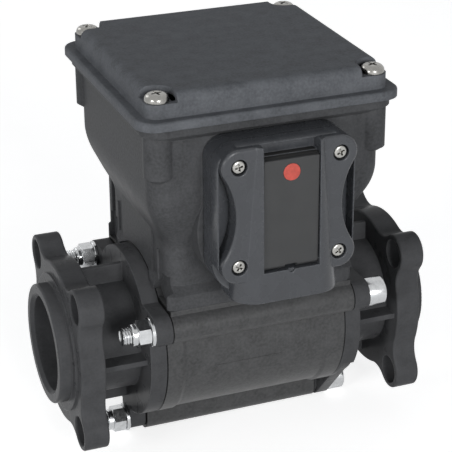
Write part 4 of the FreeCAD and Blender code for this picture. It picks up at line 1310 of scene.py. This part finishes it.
@dataclass
class Studio:
    """A pale floor, soft lamps, a white surround and the camera at the photograph's angle."""

    azimuth: float = 21.0
    elevation: float = 24.43
    roll: float = -0.35
    distance: float = 759.77
    target: Vector = field(default_factory=lambda: Vector((0.02, 0.0, 43.78)))
    lens: float = 131.08
    sensor: float = 36.0
    floor_z: float = -54.2
    floor_half_width: float = 6000.0
    floor_lift: float = 0.66
    surround: float = 0.24
    surround_tint: Colour = (0.95, 0.975, 1.0)
    lamps: Sequence[Lamp] = (
        Lamp("front_lamp", (0.0, -1600.0, 450.0), size=500.0, power=13.5),
        Lamp("left_lamp", (-1300.0, -800.0, 450.0), size=450.0, power=8.0),
        Lamp("rear_lamp", (-750.0, 1300.0, 950.0), size=700.0, power=3.8))

    def build(self) -> None:
        """Sets the camera, the surround, the lamps and the floor."""
        bpy.context.scene.view_settings.view_transform = "Standard"
        self.set_camera()
        self.set_surround()
        for lamp in self.lamps:
            self.hang(lamp)
        self.add_floor()

    def set_camera(self) -> None:
        """Places the camera as it was fitted to the photograph."""
        a, e, r = (math.radians(v) for v in (self.azimuth, self.elevation, self.roll))
        ahead = Vector((math.sin(a) * math.cos(e), math.cos(a) * math.cos(e), -math.sin(e)))
        right = Vector((math.cos(a), -math.sin(a), 0.0))
        up = right.cross(ahead)
        side = right * math.cos(r) + up * math.sin(r)
        top = up * math.cos(r) - right * math.sin(r)
        data = bpy.data.cameras.new("camera")
        data.lens = self.lens
        data.sensor_width = self.sensor
        data.clip_start, data.clip_end = 0.01, 50.0
        camera = show("camera", data)
        turn = Matrix((side, top, -ahead)).transposed().to_4x4()
        camera.matrix_world = Matrix.Translation((self.target - ahead * self.distance) * MM) @ turn
        bpy.context.scene.camera = camera

    def set_surround(self) -> None:
        """Makes a surround that looks white and lights the object plainly."""
        world = bpy.data.worlds.new("surround")
        bpy.context.scene.world = world
        world.use_nodes = True
        graph = Graph(world.node_tree)
        white = graph.combined("MAXIMUM", *graph.looked_at())
        mix = graph.node("ShaderNodeMixShader")
        graph.join(white, mix.inputs[0])
        for socket, colour, strength in ((1, self.surround_tint, self.surround), (2, (1.0, 1.0, 1.0), 1.0)):
            light = graph.node("ShaderNodeBackground")
            light.inputs["Color"].default_value = (*colour, 1.0)
            light.inputs["Strength"].default_value = strength
            graph.join(light.outputs[0], mix.inputs[socket])
        output = graph.node("ShaderNodeOutputWorld")
        graph.join(mix.outputs[0], output.inputs["Surface"])

    def hang(self, lamp: Lamp) -> None:
        """Hangs a lamp so that it looks at the object.

        Args:
            lamp: the lamp.
        """
        data = bpy.data.lights.new(lamp.name, "AREA")
        data.size = lamp.size * MM
        data.energy = lamp.power
        hung = show(lamp.name, data)
        hung.location = Vector(lamp.place) * MM
        hung.rotation_euler = (self.target * MM - hung.location).to_track_quat("-Z", "Y").to_euler()

    def add_floor(self) -> None:
        """Lays the pale floor, which looks white but keeps the object's shadow."""
        bm = bmesh.new()
        bmesh.ops.create_grid(bm, x_segments=1, y_segments=1, size=self.floor_half_width * MM)
        bmesh.ops.translate(bm, vec=(0, 0, self.floor_z * MM), verts=bm.verts)
        mesh = bpy.data.meshes.new("floor")
        bm.to_mesh(mesh)
        bm.free()
        mesh.materials.append(self.floor_material())
        show("floor", mesh)

    def floor_material(self) -> Material:
        """Builds the floor's paint.

        Returns:
            A pale material, lifted to white where the camera or a reflection sees it.
        """
        s = Shader("floor_paint")
        s.feed("Base Color", s.tint(s.noise(40.0), (0.80, 0.80, 0.80), (0.84, 0.84, 0.84)))
        s.put("Roughness", 0.9)
        s.put("Specular IOR Level", 0.1)
        seen = s.looked_at()[0]
        s.put("Emission Color", (1.0, 1.0, 1.0, 1.0))
        s.feed("Emission Strength", s.combined("MULTIPLY", seen, self.floor_lift))
        return s.material


LID_SCREW_SEAT_Z = 128.194
COVER_SCREW_SEAT_Y = -71.9


def screw_places(node: str, count: int, axis: int, seat: float) -> list[Vector]:
    """Reads where the screws of a numbered CAD group stand.

    Args:
        node: the group's name, without its number.
        count: how many there are.
        axis: the axis that they stand along, 1 for Y and 2 for Z.
        seat: the height of the seat along that axis, in millimetres.

    Returns:
        One place for each screw, in the order of their numbers.
    """
    places = []
    for number in range(1, count + 1):
        low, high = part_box(f"{node}_{number}")
        place = (low + high) / 2 / MM
        place[axis] = seat
        places.append(place)
    return places


def main() -> None:
    """Builds the pieces in order, dresses the CAD nodes and sets up the studio."""
    logging.basicConfig(level=logging.INFO, format="%(name)s: %(message)s")
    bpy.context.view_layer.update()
    wardrobe = Wardrobe()
    wardrobe.dress_cad()
    lid_seats = screw_places("lid_screw", 4, 2, LID_SCREW_SEAT_Z)
    cover_seats = screw_places("cover_screw", 4, 1, COVER_SCREW_SEAT_Y)
    for kind in (TieScrews, TieNuts, LowerLug, MouldLine, CoverSkirt, ShadeStrips):
        kind(wardrobe).build()
    CrossScrews(wardrobe, "lid_cross_screw", "lid_screw", lid_seats, Matrix.Identity(4), LID_SCREW_STEEL,
                head_radius=5.2, head_height=3.4, shank_radius=2.5, shank_length=12.0,
                arm=2.5, slit=0.55, recess=1.9, side=0.25).build()
    forward = turned(90, "X")
    CrossScrews(wardrobe, "cover_cross_screw", "cover_screw", cover_seats, forward, COVER_SCREW_STEEL,
                head_radius=3.3, head_height=2.2, shank_radius=1.5, shank_length=14.0,
                arm=1.75, slit=0.42, recess=1.4, side=0.3).build()
    Studio().build()


if __name__ == "__main__":
    main()
